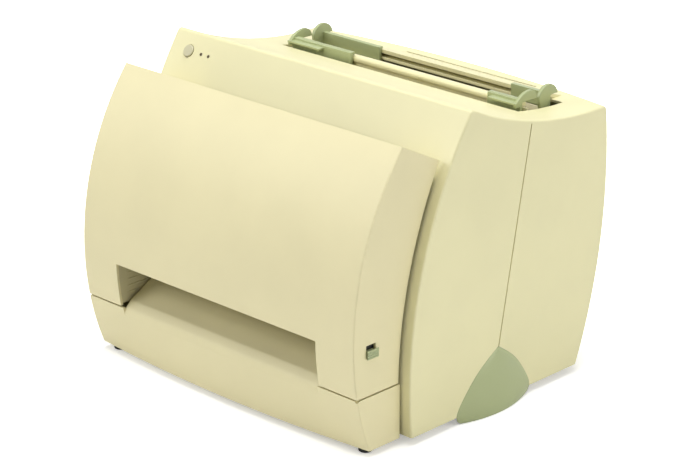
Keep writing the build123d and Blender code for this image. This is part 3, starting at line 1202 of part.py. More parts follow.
# Electronics
with BuildPart() as engine_board:
    with Locations((0, ENGINE_BOARD_Y, BOARD_Z)):
        Box(*ENGINE_BOARD, BOARD_THICKNESS, align=(Align.CENTER, Align.CENTER, Align.MIN))
    with Locations(*[(x, y, BOARD_Z + lift) for x, y, lift in CHIP_PLACES]):
        Box(*CHIP)
    with Locations(*[(x, y, BOARD_Z + CAPACITOR[1] / 2) for x, y in CAPACITOR_PLACES]):
        Cylinder(*CAPACITOR)
save("engine_board", engine_board.part)

supply_x, supply_y = SUPPLY_PLACE
with BuildPart() as power_supply:
    with Locations((supply_x, supply_y, PAN_TOP)):
        Box(*SUPPLY_SIZE, align=(Align.CENTER, Align.CENTER, Align.MIN))
    with Locations((supply_x, supply_y, PAN_TOP + SUPPLY_WALL)):
        Box(SUPPLY_SIZE[0] - 2 * SUPPLY_WALL, SUPPLY_SIZE[1] - 2 * SUPPLY_WALL, SUPPLY_SIZE[2],
            align=(Align.CENTER, Align.CENTER, Align.MIN), mode=Mode.SUBTRACT)
    with Locations(*[(supply_x + shift, supply_y, PAN_TOP + TRANSFORMER_Z) for shift in TRANSFORMER_SHIFTS]):
        Box(*TRANSFORMER)
save("power_supply", power_supply.part)

board_x = CHASSIS_X + CHASSIS_THICKNESS + FORMATTER_GAP
post_reach = [size / 2 - FORMATTER_POST_INSET for size in FORMATTER_SIZE]
with BuildPart() as formatter_board:
    with Locations((board_x + BOARD_THICKNESS / 2, *FORMATTER_CENTRE)):
        Box(BOARD_THICKNESS, *FORMATTER_SIZE)
    posts = [(FORMATTER_CENTRE[0] + across * post_reach[0], FORMATTER_CENTRE[1] + up * post_reach[1])
             for across in (-1, 1) for up in (-1, 1)]
    add(rod_across(posts, FORMATTER_POST, board_x - FORMATTER_GAP, board_x))
    with Locations(*[(board_x + BOARD_THICKNESS + FORMATTER_CHIP[0] / 2, *place) for place in FORMATTER_CHIPS]):
        Box(*FORMATTER_CHIP)
save("formatter_board", formatter_board.part)


def rear_fitting(place, depth, recess):
    """Connector block in a cut-out of the rear wall, cut to the wall's curve."""
    x, z, width, height = place
    with BuildPart() as block:
        with Locations((x, REAR_REACH - depth / 2, z)):
            Box(width, depth, height)
        add(case_form(FITTING_INSET, CASE_BOTTOM - BEYOND, CASE_TOP), mode=Mode.INTERSECT)
        with BuildSketch(Plane(origin=(x, rear_y(z, x) - recess, z), x_dir=(1, 0, 0), z_dir=(0, 1, 0))):
            RectangleRounded(width - FITTING_RIM[0], height - FITTING_RIM[1], FITTING_ROUND)
        extrude(amount=FAR_BEYOND, mode=Mode.SUBTRACT)
    return block.part


save("power_inlet", rear_fitting(INLET, INLET_DEPTH, INLET_RECESS))
save("parallel_port", rear_fitting(PORT, PORT_DEPTH, PORT_RECESS))

for name, axis in (("transfer", TRANSFER_AXIS), ("fuser", FUSER_AXIS), ("pinch", PINCH_AXIS)):
    print("shaft", name, [round(v, 3) for v in axis])
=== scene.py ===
"""Small personal laser printer: looks, fine pieces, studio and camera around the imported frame.

Everything is drawn in millimetres in the printer's frame (X right, Y back, Z up) and scaled once.
"""
import json
import math
import random

import bmesh
import bpy
from mathutils import Matrix, Vector


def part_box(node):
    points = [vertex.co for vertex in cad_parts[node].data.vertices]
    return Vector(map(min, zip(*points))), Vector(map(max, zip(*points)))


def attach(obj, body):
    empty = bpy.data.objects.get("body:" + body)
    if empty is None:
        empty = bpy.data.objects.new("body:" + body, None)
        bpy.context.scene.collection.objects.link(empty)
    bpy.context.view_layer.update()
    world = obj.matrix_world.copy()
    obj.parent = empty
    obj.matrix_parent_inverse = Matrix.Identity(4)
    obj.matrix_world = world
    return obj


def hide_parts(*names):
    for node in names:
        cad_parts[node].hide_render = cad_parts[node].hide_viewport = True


bl_info = {
    "name": "Personal laser printer",
    "version": (1, 0, 0),
    "blender": (4, 5, 0),
    "location": "View3D > Sidebar > Printer",
    "description": "Moulded plastics, rollers, boards and studio for a small laser printer",
    "category": "Object",
}

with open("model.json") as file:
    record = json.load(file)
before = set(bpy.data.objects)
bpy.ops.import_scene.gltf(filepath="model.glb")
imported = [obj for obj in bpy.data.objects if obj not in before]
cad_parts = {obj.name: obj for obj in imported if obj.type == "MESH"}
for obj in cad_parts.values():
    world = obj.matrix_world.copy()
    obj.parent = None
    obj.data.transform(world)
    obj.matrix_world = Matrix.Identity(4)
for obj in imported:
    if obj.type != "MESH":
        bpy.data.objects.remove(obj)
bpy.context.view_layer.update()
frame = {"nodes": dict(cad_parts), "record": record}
NODES = frame["nodes"]
MM = 0.001
SHARP_ANGLE = math.radians(32)
FLAT_ANGLE = math.radians(1)
WELD_MM = 0.001
ROUND_SIDES = 48
ROUND_STEPS = 3
CHAMFER_SHARE = 0.2


# Colours and shader nodes
def srgb(code):
    """Turns an sRGB hex value to linear RGBA."""
    channels = [int(code[i:i + 2], 16) / 255 for i in (1, 3, 5)]
    linear = [c / 12.92 if c <= 0.04045 else ((c + 0.055) / 1.055) ** 2.4 for c in channels]
    return (*linear, 1.0)


def darker(colour, share):
    """The same colour with less light in it."""
    return (*[c * share for c in colour[:3]], 1.0)


def put(tree, kind, inputs=None, **settings):
    """Adds one shader node with its settings, its values and its links."""
    node = tree.nodes.new(kind)
    for name, value in settings.items():
        setattr(node, name, value)
    for name, value in (inputs or {}).items():
        if isinstance(value, bpy.types.NodeSocket):
            tree.links.new(value, node.inputs[name])
        else:
            node.inputs[name].default_value = value
    return node


def blank_material(name):
    """A material with only its output and shader, and the object's own coordinates."""
    material = bpy.data.materials.new(name)
    material.use_nodes = True
    tree = material.node_tree
    tree.nodes.clear()
    shader = put(tree, "ShaderNodeBsdfPrincipled")
    put(tree, "ShaderNodeOutputMaterial", {"Surface": shader.outputs["BSDF"]})
    where = put(tree, "ShaderNodeTexCoord").outputs["Object"]
    return material, tree, shader, where


def mixed(tree, factor, first, second):
    """Blend of two colours by a share from nought to one."""
    tone = put(tree, "ShaderNodeMix", data_type="RGBA")
    tree.links.new(factor, tone.inputs["Factor"])
    colour_ends = [socket for socket in tone.inputs if socket.type == "RGBA"]
    for socket, value in zip(colour_ends, (first, second)):
        if isinstance(value, bpy.types.NodeSocket):
            tree.links.new(value, socket)
        else:
            socket.default_value = value
    return [socket for socket in tone.outputs if socket.type == "RGBA"][0]


# The spark-eroded grain of real mouldings is about 0.15 mm, too fine to show at this distance:
# it is drawn at 0.9 mm, and shallow. The clouds are the slow change of tone over a large moulding,
# and the round is that of a mould's edges. All are in millimetres.
GRAIN_MM = 0.9
GRAIN_DEPTH = 0.02
CLOUD_MM = 70.0
EDGE_ROUND = 0.55


def moulded(name, colour, roughness=0.42, ior=1.53, cloud=0.965, spread=0.06, depth=GRAIN_DEPTH):
    """Injection-moulded plastic: fine grain, faint clouding, uneven gloss and eased edges."""
    material, tree, shader, where = blank_material(name)
    clouds = put(tree, "ShaderNodeTexNoise", {"Vector": where, "Scale": 1 / (CLOUD_MM * MM),
                                              "Detail": 3.0})
    grain = put(tree, "ShaderNodeTexNoise", {"Vector": where, "Scale": 1 / (GRAIN_MM * MM),
                                             "Detail": 2.0, "Roughness": 0.6})
    blend = put(tree, "ShaderNodeMapRange", {"Value": clouds.outputs["Fac"], "From Min": 0.35,
                                             "From Max": 0.65})
    tone = mixed(tree, blend.outputs["Result"], colour, darker(colour, cloud))
    tree.links.new(tone, shader.inputs["Base Color"])
    gloss = put(tree, "ShaderNodeMapRange", {"Value": grain.outputs["Fac"],
                                             "To Min": roughness - spread, "To Max": roughness + spread})
    tree.links.new(gloss.outputs["Result"], shader.inputs["Roughness"])
    eased = put(tree, "ShaderNodeBevel", {"Radius": EDGE_ROUND * MM}, samples=6)
    bump = put(tree, "ShaderNodeBump", {"Height": grain.outputs["Fac"], "Strength": 0.35,
                                        "Distance": depth * MM, "Normal": eased.outputs["Normal"]})
    tree.links.new(bump.outputs["Normal"], shader.inputs["Normal"])
    shader.inputs["IOR"].default_value = ior
    return material


# The grain of ground rubber is about 0.1 mm, too fine to show: it is drawn at 0.8 mm.
RUBBER_GRAIN_MM = 0.8


def rubbery(name, colour, roughness=0.75):
    """Ground or moulded rubber: dark, grainy and nearly without shine."""
    material, tree, shader, where = blank_material(name)
    grain = put(tree, "ShaderNodeTexNoise", {"Vector": where, "Scale": 1 / (RUBBER_GRAIN_MM * MM),
                                             "Detail": 4.0})
    tone = mixed(tree, grain.outputs["Fac"], darker(colour, 0.7), darker(colour, 1.4))
    tree.links.new(tone, shader.inputs["Base Color"])
    bump = put(tree, "ShaderNodeBump", {"Height": grain.outputs["Fac"], "Strength": 0.5,
                                        "Distance": 0.1 * MM})
    tree.links.new(bump.outputs["Normal"], shader.inputs["Normal"])
    shader.inputs["Roughness"].default_value = roughness
    shader.inputs["IOR"].default_value = 1.52
    return material


# Drawing and turning marks are about 0.05 mm apart, too fine to show: they are drawn with three waves
# to 2.5 mm across and to 25 mm along.
MARK_MM = (2.5, 25.0, 2.5)
MARK_WAVES = 3.0


def metallic(name, colour, roughness=0.35, spread=0.08, spangle_mm=6.0):
    """Sheet, plated or turned metal with fine marks that follow its making."""
    material, tree, shader, where = blank_material(name)
    drawn = put(tree, "ShaderNodeMapping", {"Vector": where, "Scale": [1 / (side * MM) for side in MARK_MM]})
    marks = put(tree, "ShaderNodeTexNoise", {"Vector": drawn.outputs["Vector"], "Scale": MARK_WAVES,
                                             "Detail": 4.0})
    gloss = put(tree, "ShaderNodeMapRange", {"Value": marks.outputs["Fac"], "To Min": roughness - spread,
                                             "To Max": roughness + spread})
    tree.links.new(gloss.outputs["Result"], shader.inputs["Roughness"])
    spangle = put(tree, "ShaderNodeTexVoronoi", {"Vector": where, "Scale": 1 / (spangle_mm * MM)})
    tone = mixed(tree, spangle.outputs["Distance"], colour, darker(colour, 0.86))
    tree.links.new(tone, shader.inputs["Base Color"])
    shader.inputs["Metallic"].default_value = 1.0
    return material


def make_finishes(colours):
    """Every material slot of the record with its material."""
    return {
        # pale warm ivory with a soft satin sheen
        "case_shell": moulded("ABS moulded ivory", colours.case),
        # a touch warmer and duller than the case
        "door_shell": moulded("ABS moulded cream", colours.door, 0.48),
        # greyish beige, darkened to paint the shade inside the output slot's recess, duller still
        "door_liner": moulded("ABS inner moulding", colours.inner, 0.5),
        # pale beige of its own moulding, a touch darker and greyer than the case to paint some shade into
        # the paper slots' depth
        "input_chute": moulded("ABS chute moulding", colours.chute, 0.5),
        # the inner mouldings' beige, darkened as painted shade, dullest of all
        "base_pan": moulded("ABS base moulding", colours.inner, 0.55),
        # sage green, glossier than the case so it carries a highlight
        "green_plastic": moulded("ABS moulded sage green", colours.green, 0.3, depth=GRAIN_DEPTH / 2),
        # black feet that show only as a dark rim
        "black_rubber": rubbery("Rubber moulded black", srgb("#1C1B19")),
        # smooth greyish cap, picks up a small round highlight
        "button": moulded("ABS button cap", colours.button, 0.3, depth=GRAIN_DEPTH / 4),
        # dark amber lens, glassy
        "lamp_lens": moulded("Polycarbonate lamp lens", srgb("#4A3C1A"), 0.15, 1.58, depth=0.0),
        # green solder mask over the weave
        "circuit_board": moulded("Glass epoxy board with green mask", srgb("#1F6B3A"), 0.3, cloud=0.85),
        # zinc spangle on the side frames
        "sheet_steel": metallic("Galvanised sheet steel", srgb("#B4B7B6")),
        # bright turned shafts and screws
        "plated_steel": metallic("Zinc plated turned steel", srgb("#C9C9C4"), 0.25, spangle_mm=2.0),
        # dull dark can with drawing marks
        "motor_can": metallic("Blackened steel can", srgb("#5A5C60"), 0.4, spangle_mm=3.0),
        # near-black with a faint sheen
        "black_plastic": moulded("Polycarbonate blend moulded black", srgb("#232323"), 0.45, cloud=0.8),
        # brown speckled friction pad
        "pad_rubber": rubbery("Cork rubber friction pad", srgb("#5E4632"), 0.85),
        # dark ground rubber with fine grain round the roller
        "roller_rubber": rubbery("EPDM rubber ground", srgb("#2E2E2E"), 0.7),
        # slippery white gear plastic
        "white_acetal": moulded("Acetal gear moulding", srgb("#E6E4DC"), 0.3, 1.48),
        # mirror-smooth blue-green coating
        "drum_green": moulded("Organic photoconductor coating", srgb("#1D7F78"), 0.12, spread=0.02,
                              depth=0.0),
        # mirror finish of the spinning mirror
        "polished_aluminium": metallic("Aluminium diamond turned", srgb("#DADCE0"), 0.06, spread=0.02),
    }


FINISHES = {}


def dress_nodes():
    """Gives every CAD node the material of its record slot."""
    for row in frame["record"]["subparts"]:
        mesh = NODES[row["node"]].data
        mesh.materials.clear()
        mesh.materials.append(FINISHES[row["material_slot"]])


# Drawing meshes
def band(shape, first, second):
    """Joins two rings of corners with faces."""
    for index in range(len(first)):
        after = (index + 1) % len(first)
        shape.faces.new((first[index], first[after], second[after], second[index]))


def skin(shape, rings):
    """Joins rings of corners in turn and closes both ends."""
    for first, second in zip(rings, rings[1:]):
        band(shape, first, second)
    shape.faces.new(rings[0])
    shape.faces.new(rings[-1])


def block(shape, low, high, place=Matrix()):
    """Adds a box between two corners."""
    rings = []
    for z in (low[2], high[2]):
        corners = ((low[0], low[1]), (high[0], low[1]), (high[0], high[1]), (low[0], high[1]))
        rings.append([shape.verts.new(place @ Vector((x, y, z))) for x, y in corners])
    skin(shape, rings)


def brick(shape, centre, size, place=Matrix()):
    """Adds a box round its middle."""
    low = [c - s / 2 for c, s in zip(centre, size)]
    high = [c + s / 2 for c, s in zip(centre, size)]
    block(shape, low, high, place)


def prism(shape, outline, start, end):
    """Adds a straight prism from an outline in side view."""
    skin(shape, [[shape.verts.new((x, y, z)) for y, z in outline] for x in (start, end)])


def circles(shape, profile, place):
    """Adds a circle of corners for each distance along an axis and its radius."""
    angles = [2 * math.pi * index / ROUND_SIDES for index in range(ROUND_SIDES)]
    return [[shape.verts.new(place @ Vector((radius * math.cos(a), radius * math.sin(a), along)))
             for a in angles] for along, radius in profile]


def turned(shape, profile, place):
    """Adds a turned body: distances along its axis, each with a radius."""
    skin(shape, circles(shape, profile, place))


def hollow_ring(shape, place, inner, outer, start, end):
    """Adds a ring with a chamfered outer edge."""
    chamfer = (outer - inner) * CHAMFER_SHARE
    profile = ((start, inner), (start, outer - chamfer), (start + chamfer, outer), (end - chamfer, outer),
               (end, outer - chamfer), (end, inner))
    rings = circles(shape, profile, place)
    for first, second in zip(rings, rings[1:] + rings[:1]):
        band(shape, first, second)


def axle(y, z, x=0.0):
    """Place whose own Z runs across the width."""
    return Matrix.Translation((x, y, z)) @ Matrix.Rotation(math.pi / 2, 4, "Y")


def upright(x, y, z=0.0):
    """Place whose own Z points up."""
    return Matrix.Translation((x, y, z))


def soften(shape, radius):
    """Rounds the sharp edges."""
    sharp = [edge for edge in shape.edges
             if len(edge.link_faces) == 2 and edge.calc_face_angle(0) > SHARP_ANGLE]
    bmesh.ops.bevel(shape, geom=sharp, offset=radius, segments=ROUND_STEPS, profile=0.5, affect="EDGES",
                    clamp_overlap=True)


def finish_piece(name, shape, slot, body, hides=(), radius=0.0, scale=MM):
    """Turns a drawing to a piece that rides its body and wears its slot's material."""
    bmesh.ops.recalc_face_normals(shape, faces=shape.faces)
    if radius:
        soften(shape, radius)
    bmesh.ops.scale(shape, vec=(scale,) * 3, verts=shape.verts)
    mesh = bpy.data.meshes.new(name)
    shape.to_mesh(mesh)
    shape.free()
    mesh.polygons.foreach_set("use_smooth", [True] * len(mesh.polygons))
    mesh.set_sharp_from_angle(angle=SHARP_ANGLE)
    mesh.materials.append(FINISHES[slot])
    piece = bpy.data.objects.new(name, mesh)
    bpy.context.scene.collection.objects.link(piece)
    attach(piece, body)
    for node in hides:
        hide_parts(node)
    return piece


def softened_copy(name, node, slot, body, radius):
    """The CAD node again with its edges rounded."""
    shape = bmesh.new()
    shape.from_mesh(NODES[node].data)
    bmesh.ops.remove_doubles(shape, verts=shape.verts, dist=WELD_MM * MM)
    bmesh.ops.dissolve_limit(shape, angle_limit=FLAT_ANGLE, verts=shape.verts, edges=shape.edges)
    soften(shape, radius * MM)
    return finish_piece(name, shape, slot, body, hides=(node,), scale=1.0)


# Lever of the paper path: a slide in the door and a ribbed grip that widens outwards
LEVER_Y = -139.0
SLIDE_LOW = (160.2, -147.0, 81.55)
SLIDE_HIGH = (162.2, -131.0, 105.55)
# Front, rear, lower and upper edge of the grip
GRIP_ROOT = (-143.6, -134.4, 89.7, 95.0)
GRIP_TIP = (-144.4, -131.4, 88.4, 96.4)
# Place across and share of the widening
GRIP_STAGES = ((162.0, 0.0), (165.2, 0.05), (166.2, 0.55), (166.9, 1.0))
GRIP_RIBS = 4
RIB_RISE = 0.42
RIB_MARGIN = 0.5
RIB_SHARE = 0.45


def draw_lever():
    """Slide and ribbed grip of the lever."""
    slide = bmesh.new()
    block(slide, SLIDE_LOW, SLIDE_HIGH)
    finish_piece("lever_slide", slide, "black_plastic", "lever", radius=0.4)
    grip = bmesh.new()
    rings = []
    for x, share in GRIP_STAGES:
        y0, y1, z0, z1 = [root + (tip - root) * share for root, tip in zip(GRIP_ROOT, GRIP_TIP)]
        rings.append([grip.verts.new((x, y, z)) for y, z in ((y0, z0), (y1, z0), (y1, z1), (y0, z1))])
    skin(grip, rings)
    front, rear, low, high = GRIP_TIP
    pitch = (high - low) / GRIP_RIBS
    rib = (2 * RIB_RISE, rear - front - 2 * RIB_MARGIN, pitch * RIB_SHARE)
    for index in range(GRIP_RIBS):
        brick(grip, (GRIP_STAGES[-1][0], LEVER_Y, low + pitch * (index + 0.5)), rib)
    finish_piece("lever_grip", grip, "green_plastic", "lever", hides=("paper_path_lever",), radius=0.18)


# Guides of the paper input
GUIDES = (("front_guide_left", "front_guide_l"), ("front_guide_right", "front_guide_r"),
          ("rear_guide_left", "rear_guide_l"), ("rear_guide_right", "rear_guide_r"))


def draw_guides(radius):
    """The four guides with eased edges."""
    for node, body in GUIDES:
        softened_copy(f"{node}_soft", node, "green_plastic", body, radius)


# Rubber feet: place, radius and height of each pair
RUBBER_FEET = ((152.0, -131.4, 6.0, 6.0), (125.0, 95.0, 8.0, 7.5))
# Height and share of the radius, from the shallow hollow out over the rim
FOOT_RIM = ((1.2, 0.2), (1.2, 0.62), (0.3, 0.7), (0.0, 0.78), (0.0, 0.92), (0.5, 1.0))
FOOT_NECK = 1.0
FOOT_NECK_SHARE = 0.96


def draw_rubber_feet():
    """Feet with a rim round a shallow hollow."""
    shape = bmesh.new()
    for x, y, radius, height in RUBBER_FEET:
        profile = [(z, radius * share) for z, share in FOOT_RIM]
        profile += [(height - FOOT_NECK, radius), (height, radius * FOOT_NECK_SHARE)]
        for side in (-1, 1):
            turned(shape, profile, upright(side * x, y))
    finish_piece("rubber_feet_moulded", shape, "black_rubber", "case", hides=("rubber_feet",))


# Ribs of the door liner and of the output slot; the liner's are given by their lower and upper ends
# in side view
LINER_UPPER = ((-117.5, 206.0), (-104.9, 243.0))
LINER_LOWER = ((-107.0, 122.0), (-102.2, 148.0))
LINER_RIBS = 9
LINER_RIB_PITCH = 26.0
LINER_RIB_WIDTH = 1.6
LINER_RIB_DEPTH = 2.6
SLOT_WALL_X = 122.0
SLOT_RIB_ZS = (66.0, 72.0, 78.0, 84.0, 90.0)
SLOT_RIB_YS = (-146.0, -118.0)
SLOT_RIB_PROUD = 0.5
SLOT_RIB_HEIGHT = 1.2


def draw_liner_ribs():
    """Upright ribs that lead the sheet along the inside of the door."""
    shape = bmesh.new()
    for index in range(LINER_RIBS):
        x = (index - (LINER_RIBS - 1) / 2) * LINER_RIB_PITCH
        for low, high in (LINER_UPPER, LINER_LOWER):
            outline = (low, (low[0] + LINER_RIB_DEPTH, low[1] + LINER_RIB_DEPTH),
                       (high[0] + LINER_RIB_DEPTH, high[1] - LINER_RIB_DEPTH), high)
            prism(shape, outline, x - LINER_RIB_WIDTH / 2, x + LINER_RIB_WIDTH / 2)
    finish_piece("liner_ribs", shape, "door_liner", "door", radius=0.3)


def draw_slot_ribs():
    """Fine level ribs on the side walls of the output slot."""
    shape = bmesh.new()
    front, rear = SLOT_RIB_YS
    for wall in (-SLOT_WALL_X, SLOT_WALL_X):
        for z in SLOT_RIB_ZS:
            block(shape, (wall - SLOT_RIB_PROUD, front, z),
                  (wall + SLOT_RIB_PROUD, rear, z + SLOT_RIB_HEIGHT))
    finish_piece("slot_side_ribs", shape, "door_liner", "door", radius=0.2)


# Size ticks of the paper input: three small raised bars on the divider's front and on the chute's rear wall
SIZE_TICKS = ((19.0, 75.5, 243.4), (21.0, 105.7, 233.4))
TICK_SHIFTS = (-2.2, 0.0, 2.2)
TICK_SIZE = (0.9, 0.6, 2.6)


def draw_size_ticks():
    """Raised bars that mark the paper's width."""
    shape = bmesh.new()
    for x, y, z in SIZE_TICKS:
        for shift in TICK_SHIFTS:
            brick(shape, (x + shift, y, z), TICK_SIZE)
    finish_piece("size_ticks", shape, "case_shell", "case", radius=0.12)


# Vent louvres of the rear cover: raised bars that follow its bulge
VENT_X = 62.0
VENT_ROWS = 9
VENT_LOW_Z = 68.0
VENT_PITCH = 7.0
VENT_LENGTH = 84.0
VENT_HEIGHT = 2.6
VENT_STEPS = 14
VENT_PROUD = 1.5
VENT_ROOT = -0.6
VENT_LIP = 0.3
VENT_FALL = 0.9
VENT_END_SHARE = 0.2
VENT_END_FALL = 0.25
REAR_RADIUS = 466.0
REAR_CENTRE_Y = (159.0 - REAR_RADIUS, 159.0 - 1136.0)
REAR_BELLY_Z = 180.0


def rear_y(x, z):
    """Depth of the bulged rear wall at a place across and a height."""
    middle = REAR_CENTRE_Y[0] + math.sqrt(REAR_RADIUS ** 2 - (z - REAR_BELLY_Z) ** 2)
    return REAR_CENTRE_Y[1] + math.sqrt((middle - REAR_CENTRE_Y[1]) ** 2 - x * x)


def draw_vents():
    """Rows of louvres that run out at both ends."""
    shape = bmesh.new()
    for row in range(VENT_ROWS):
        z = VENT_LOW_Z + row * VENT_PITCH
        rings = []
        for step in range(VENT_STEPS + 1):
            x = -VENT_X - VENT_LENGTH / 2 + VENT_LENGTH * step / VENT_STEPS
            share = VENT_END_SHARE
            if 0 < step < VENT_STEPS:
                share = math.sin(math.pi * step / VENT_STEPS) ** VENT_END_FALL
            proud = VENT_PROUD * share
            section = ((VENT_ROOT, 0.0), (proud, VENT_LIP), (proud, VENT_HEIGHT - VENT_FALL),
                       (VENT_ROOT, VENT_HEIGHT))
            rings.append([shape.verts.new((x, rear_y(x, z + up) + out, z + up)) for out, up in section])
        skin(shape, rings)
    finish_piece("rear_louvres", shape, "case_shell", "case")


# Rear connectors: the inlet's pins, and the port's tongue with a row of contacts on each face
INLET_PINS = ((-7.0, 2.5), (7.0, 2.5), (0.0, -3.5))
PIN_SIZE = (2.0, 12.0, 4.0)
PIN_INSET = 11.0
TONGUE_SIZE = (32.0, 5.0, 3.2)
PORT_INSET = 5.0
CONTACT_SIZE = (0.9, 4.6, 0.4)
CONTACT_RISE = 1.7
CONTACTS_PER_ROW = 18
CONTACT_PITCH = 1.7


def draw_connectors():
    """Metal and tongue inside the two rear connectors."""
    low, high = [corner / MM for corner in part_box("power_inlet")]
    middle = (low + high) / 2
    pins = bmesh.new()
    for dx, dz in INLET_PINS:
        brick(pins, (middle.x + dx, high.y - PIN_INSET, middle.z + dz), PIN_SIZE)
    finish_piece("inlet_pins", pins, "plated_steel", "case", radius=0.5)
    low, high = [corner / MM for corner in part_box("parallel_port")]
    middle = (low + high) / 2
    tongue = bmesh.new()
    brick(tongue, (middle.x, high.y - PORT_INSET, middle.z), TONGUE_SIZE)
    finish_piece("port_tongue", tongue, "black_plastic", "case", radius=0.4)
    contacts = bmesh.new()
    for index in range(CONTACTS_PER_ROW):
        x = middle.x + (index - (CONTACTS_PER_ROW - 1) / 2) * CONTACT_PITCH
        for rise in (-CONTACT_RISE, CONTACT_RISE):
            brick(contacts, (x, high.y - PORT_INSET, middle.z + rise), CONTACT_SIZE)
    finish_piece("port_contacts", contacts, "plated_steel", "case", radius=0.08)


# Circuit boards: chips with legs and small parts between them
LEG_PITCH = 2.54
LEG_SIZE = (0.6, 1.6, 2.0)
LEG_OUT = 0.6
CHIP_LIFT = 1.0
CHIP_ROOM = (3, 4)
PART_ROOM = 3
PART_HALF = 1.0
PART_LENGTHS = (3.2, 4.5, 6.0)
PART_WIDTH = 1.8
PART_BODY_SHARE = 0.7
PART_BODY_HEIGHT = 1.4
PART_END_SHARE = 0.6
PART_END_HEIGHT = 0.6
BOARD_MARGIN = 5
# Name, place, size, places and sizes of the chips, number of small parts, seed of their places
BOARDS = (
    ("engine_board", upright(0.0, 5.0, 18.1), (200.0, 110.0),
     (((-70, -30), (24, 8, 3)), ((-30, -20), (32, 12, 4)), ((10, -38), (20, 7, 3)), ((-88, 5), (18, 7, 3))),
     60, 11),
    ("formatter_board", axle(40.0, 80.0, 161.6), (100.0, 84.0),
     (((30, -20), (24, 10, 3)), ((-35, 20), (24, 10, 3)), ((25, 20), (18, 7, 2.5))),
     40, 23),
)


def draw_chip(bodies, legs, place, centre, size):
    """A chip with a row of legs along each long side."""
    brick(bodies, (centre[0], centre[1], CHIP_LIFT + size[2] / 2), size, place)
    count = int(size[0] / LEG_PITCH)
    for index in range(count):
        u = centre[0] + (index - (count - 1) / 2) * LEG_PITCH
        for side in (-1, 1):
            v = centre[1] + side * (size[1] / 2 + LEG_OUT)
            brick(legs, (u, v, LEG_SIZE[2] / 2), LEG_SIZE, place)


def populate(name, place, size, chips, parts, seed):
    """Chips with legs and scattered small parts on a board."""
    draws = random.Random(seed)
    bodies, legs = bmesh.new(), bmesh.new()
    for centre, chip in chips:
        draw_chip(bodies, legs, place, centre, chip)
    taken = [(c[0], c[1], s[0] / 2 + CHIP_ROOM[0], s[1] / 2 + CHIP_ROOM[1]) for c, s in chips]
    half = [side / 2 - BOARD_MARGIN for side in size]
    made = 0
    while made < parts:
        u = draws.uniform(-half[0], half[0])
        v = draws.uniform(-half[1], half[1])
        if any(abs(u - a) < b + PART_ROOM and abs(v - c) < d + PART_ROOM for a, c, b, d in taken):
            continue
        long_side = draws.choice(PART_LENGTHS)
        span = (long_side, PART_WIDTH) if draws.random() < 0.5 else (PART_WIDTH, long_side)
        brick(bodies, (u, v, PART_BODY_HEIGHT / 2),
              (span[0] * PART_BODY_SHARE, span[1] * PART_BODY_SHARE, PART_BODY_HEIGHT), place)
        brick(legs, (u, v, PART_END_HEIGHT / 2), (span[0], span[1] * PART_END_SHARE, PART_END_HEIGHT), place)
        taken.append((u, v, PART_HALF, PART_HALF))
        made += 1
    finish_piece(f"{name}_chips", bodies, "black_plastic", "case", radius=0.15)
    finish_piece(f"{name}_legs", legs, "plated_steel", "case")


def draw_boards():
    """Parts of both large boards."""
    for board in BOARDS:
        populate(*board)


# Drive motor: distances across and radii of its can, flange and boss
MOTOR_AXIS = (11.1, 128.383)
MOTOR_PROFILE = ((-163.0, 2.6), (-162.6, 3.0), (-153.0, 3.0), (-153.0, 15.6), (-152.2, 16.6), (-150.5, 17.0),
                 (-148.6, 17.0), (-148.2, 16.5), (-123.5, 16.5), (-123.1, 17.0), (-121.0, 17.0),
                 (-119.6, 16.2), (-119.0, 14.8), (-119.0, 7.0), (-119.8, 6.4), (-119.8, 0.8))


def draw_motor():
    """The turned can with its rims and boss."""
    shape = bmesh.new()
    turned(shape, MOTOR_PROFILE, axle(*MOTOR_AXIS))
    finish_piece("drive_motor_turned", shape, "motor_can", "case", hides=("drive_motor",))


# Spring clips on the idlers' studs and bushings of the shafts: depth and height of each axis,
# inner and outer radius, and ends across
STUDS = ((45.414, 82.265), (-48.857, 107.009), (-51.826, 156.42))
CLIP_RADII = (1.0, 4.8)
CLIP_ENDS = (-163.9, -163.1)
SHAFTS = ((-2.4, 105.0), (-2.4, 84.7), (-67.4, 72.7), (-67.4, 91.0), (62.6, 105.0),
          (23.403, 86.932), (-86.166, 78.0), (-67.5, 182.0))
BUSHING_RADII = (3.1, 6.0)
BUSHING_ENDS = ((-153.0, -150.0), (150.0, 153.0))


def draw_drive_fittings():
    """Clips of the studs and bushings of the shafts."""
    clips = bmesh.new()
    for y, z in STUDS:
        hollow_ring(clips, axle(y, z), *CLIP_RADII, *CLIP_ENDS)
    finish_piece("stud_clips", clips, "plated_steel", "case")
    bushings = bmesh.new()
    for y, z in SHAFTS:
        for ends in BUSHING_ENDS:
            hollow_ring(bushings, axle(y, z), *BUSHING_RADII, *ends)
    finish_piece("shaft_bushings", bushings, "white_acetal", "case")


# Grips on the cartridge's front: ridges in side view, in a row on each side of the middle
CARTRIDGE_RIDGE = ((-46.2, 126.0), (-48.4, 129.0), (-48.4, 151.0), (-46.2, 154.0), (-45.0, 154.0),
                   (-45.0, 126.0))
RIDGES_PER_GRIP = 7
RIDGE_START = 30.0
RIDGE_PITCH = 5.0
RIDGE_HALF = 1.0


def draw_cartridge_grips():
    """Ridges where the fingers pull the cartridge out."""
    shape = bmesh.new()
    for side in (-1, 1):
        for index in range(RIDGES_PER_GRIP):
            x = side * (RIDGE_START + index * RIDGE_PITCH)
            prism(shape, CARTRIDGE_RIDGE, x - RIDGE_HALF, x + RIDGE_HALF)
    finish_piece("cartridge_grips", shape, "black_plastic", "case", radius=0.35)


# Louvres of the fuser's guard: corners in side view of the front and the top bars
LOUVRE_BARS = (((-80.4, 98.0), (-78.6, 106.5)), ((-79.0, 108.4), (-51.0, 110.4)))
LOUVRES = 25
LOUVRE_PITCH = 8.6
LOUVRE_HALF = 0.8


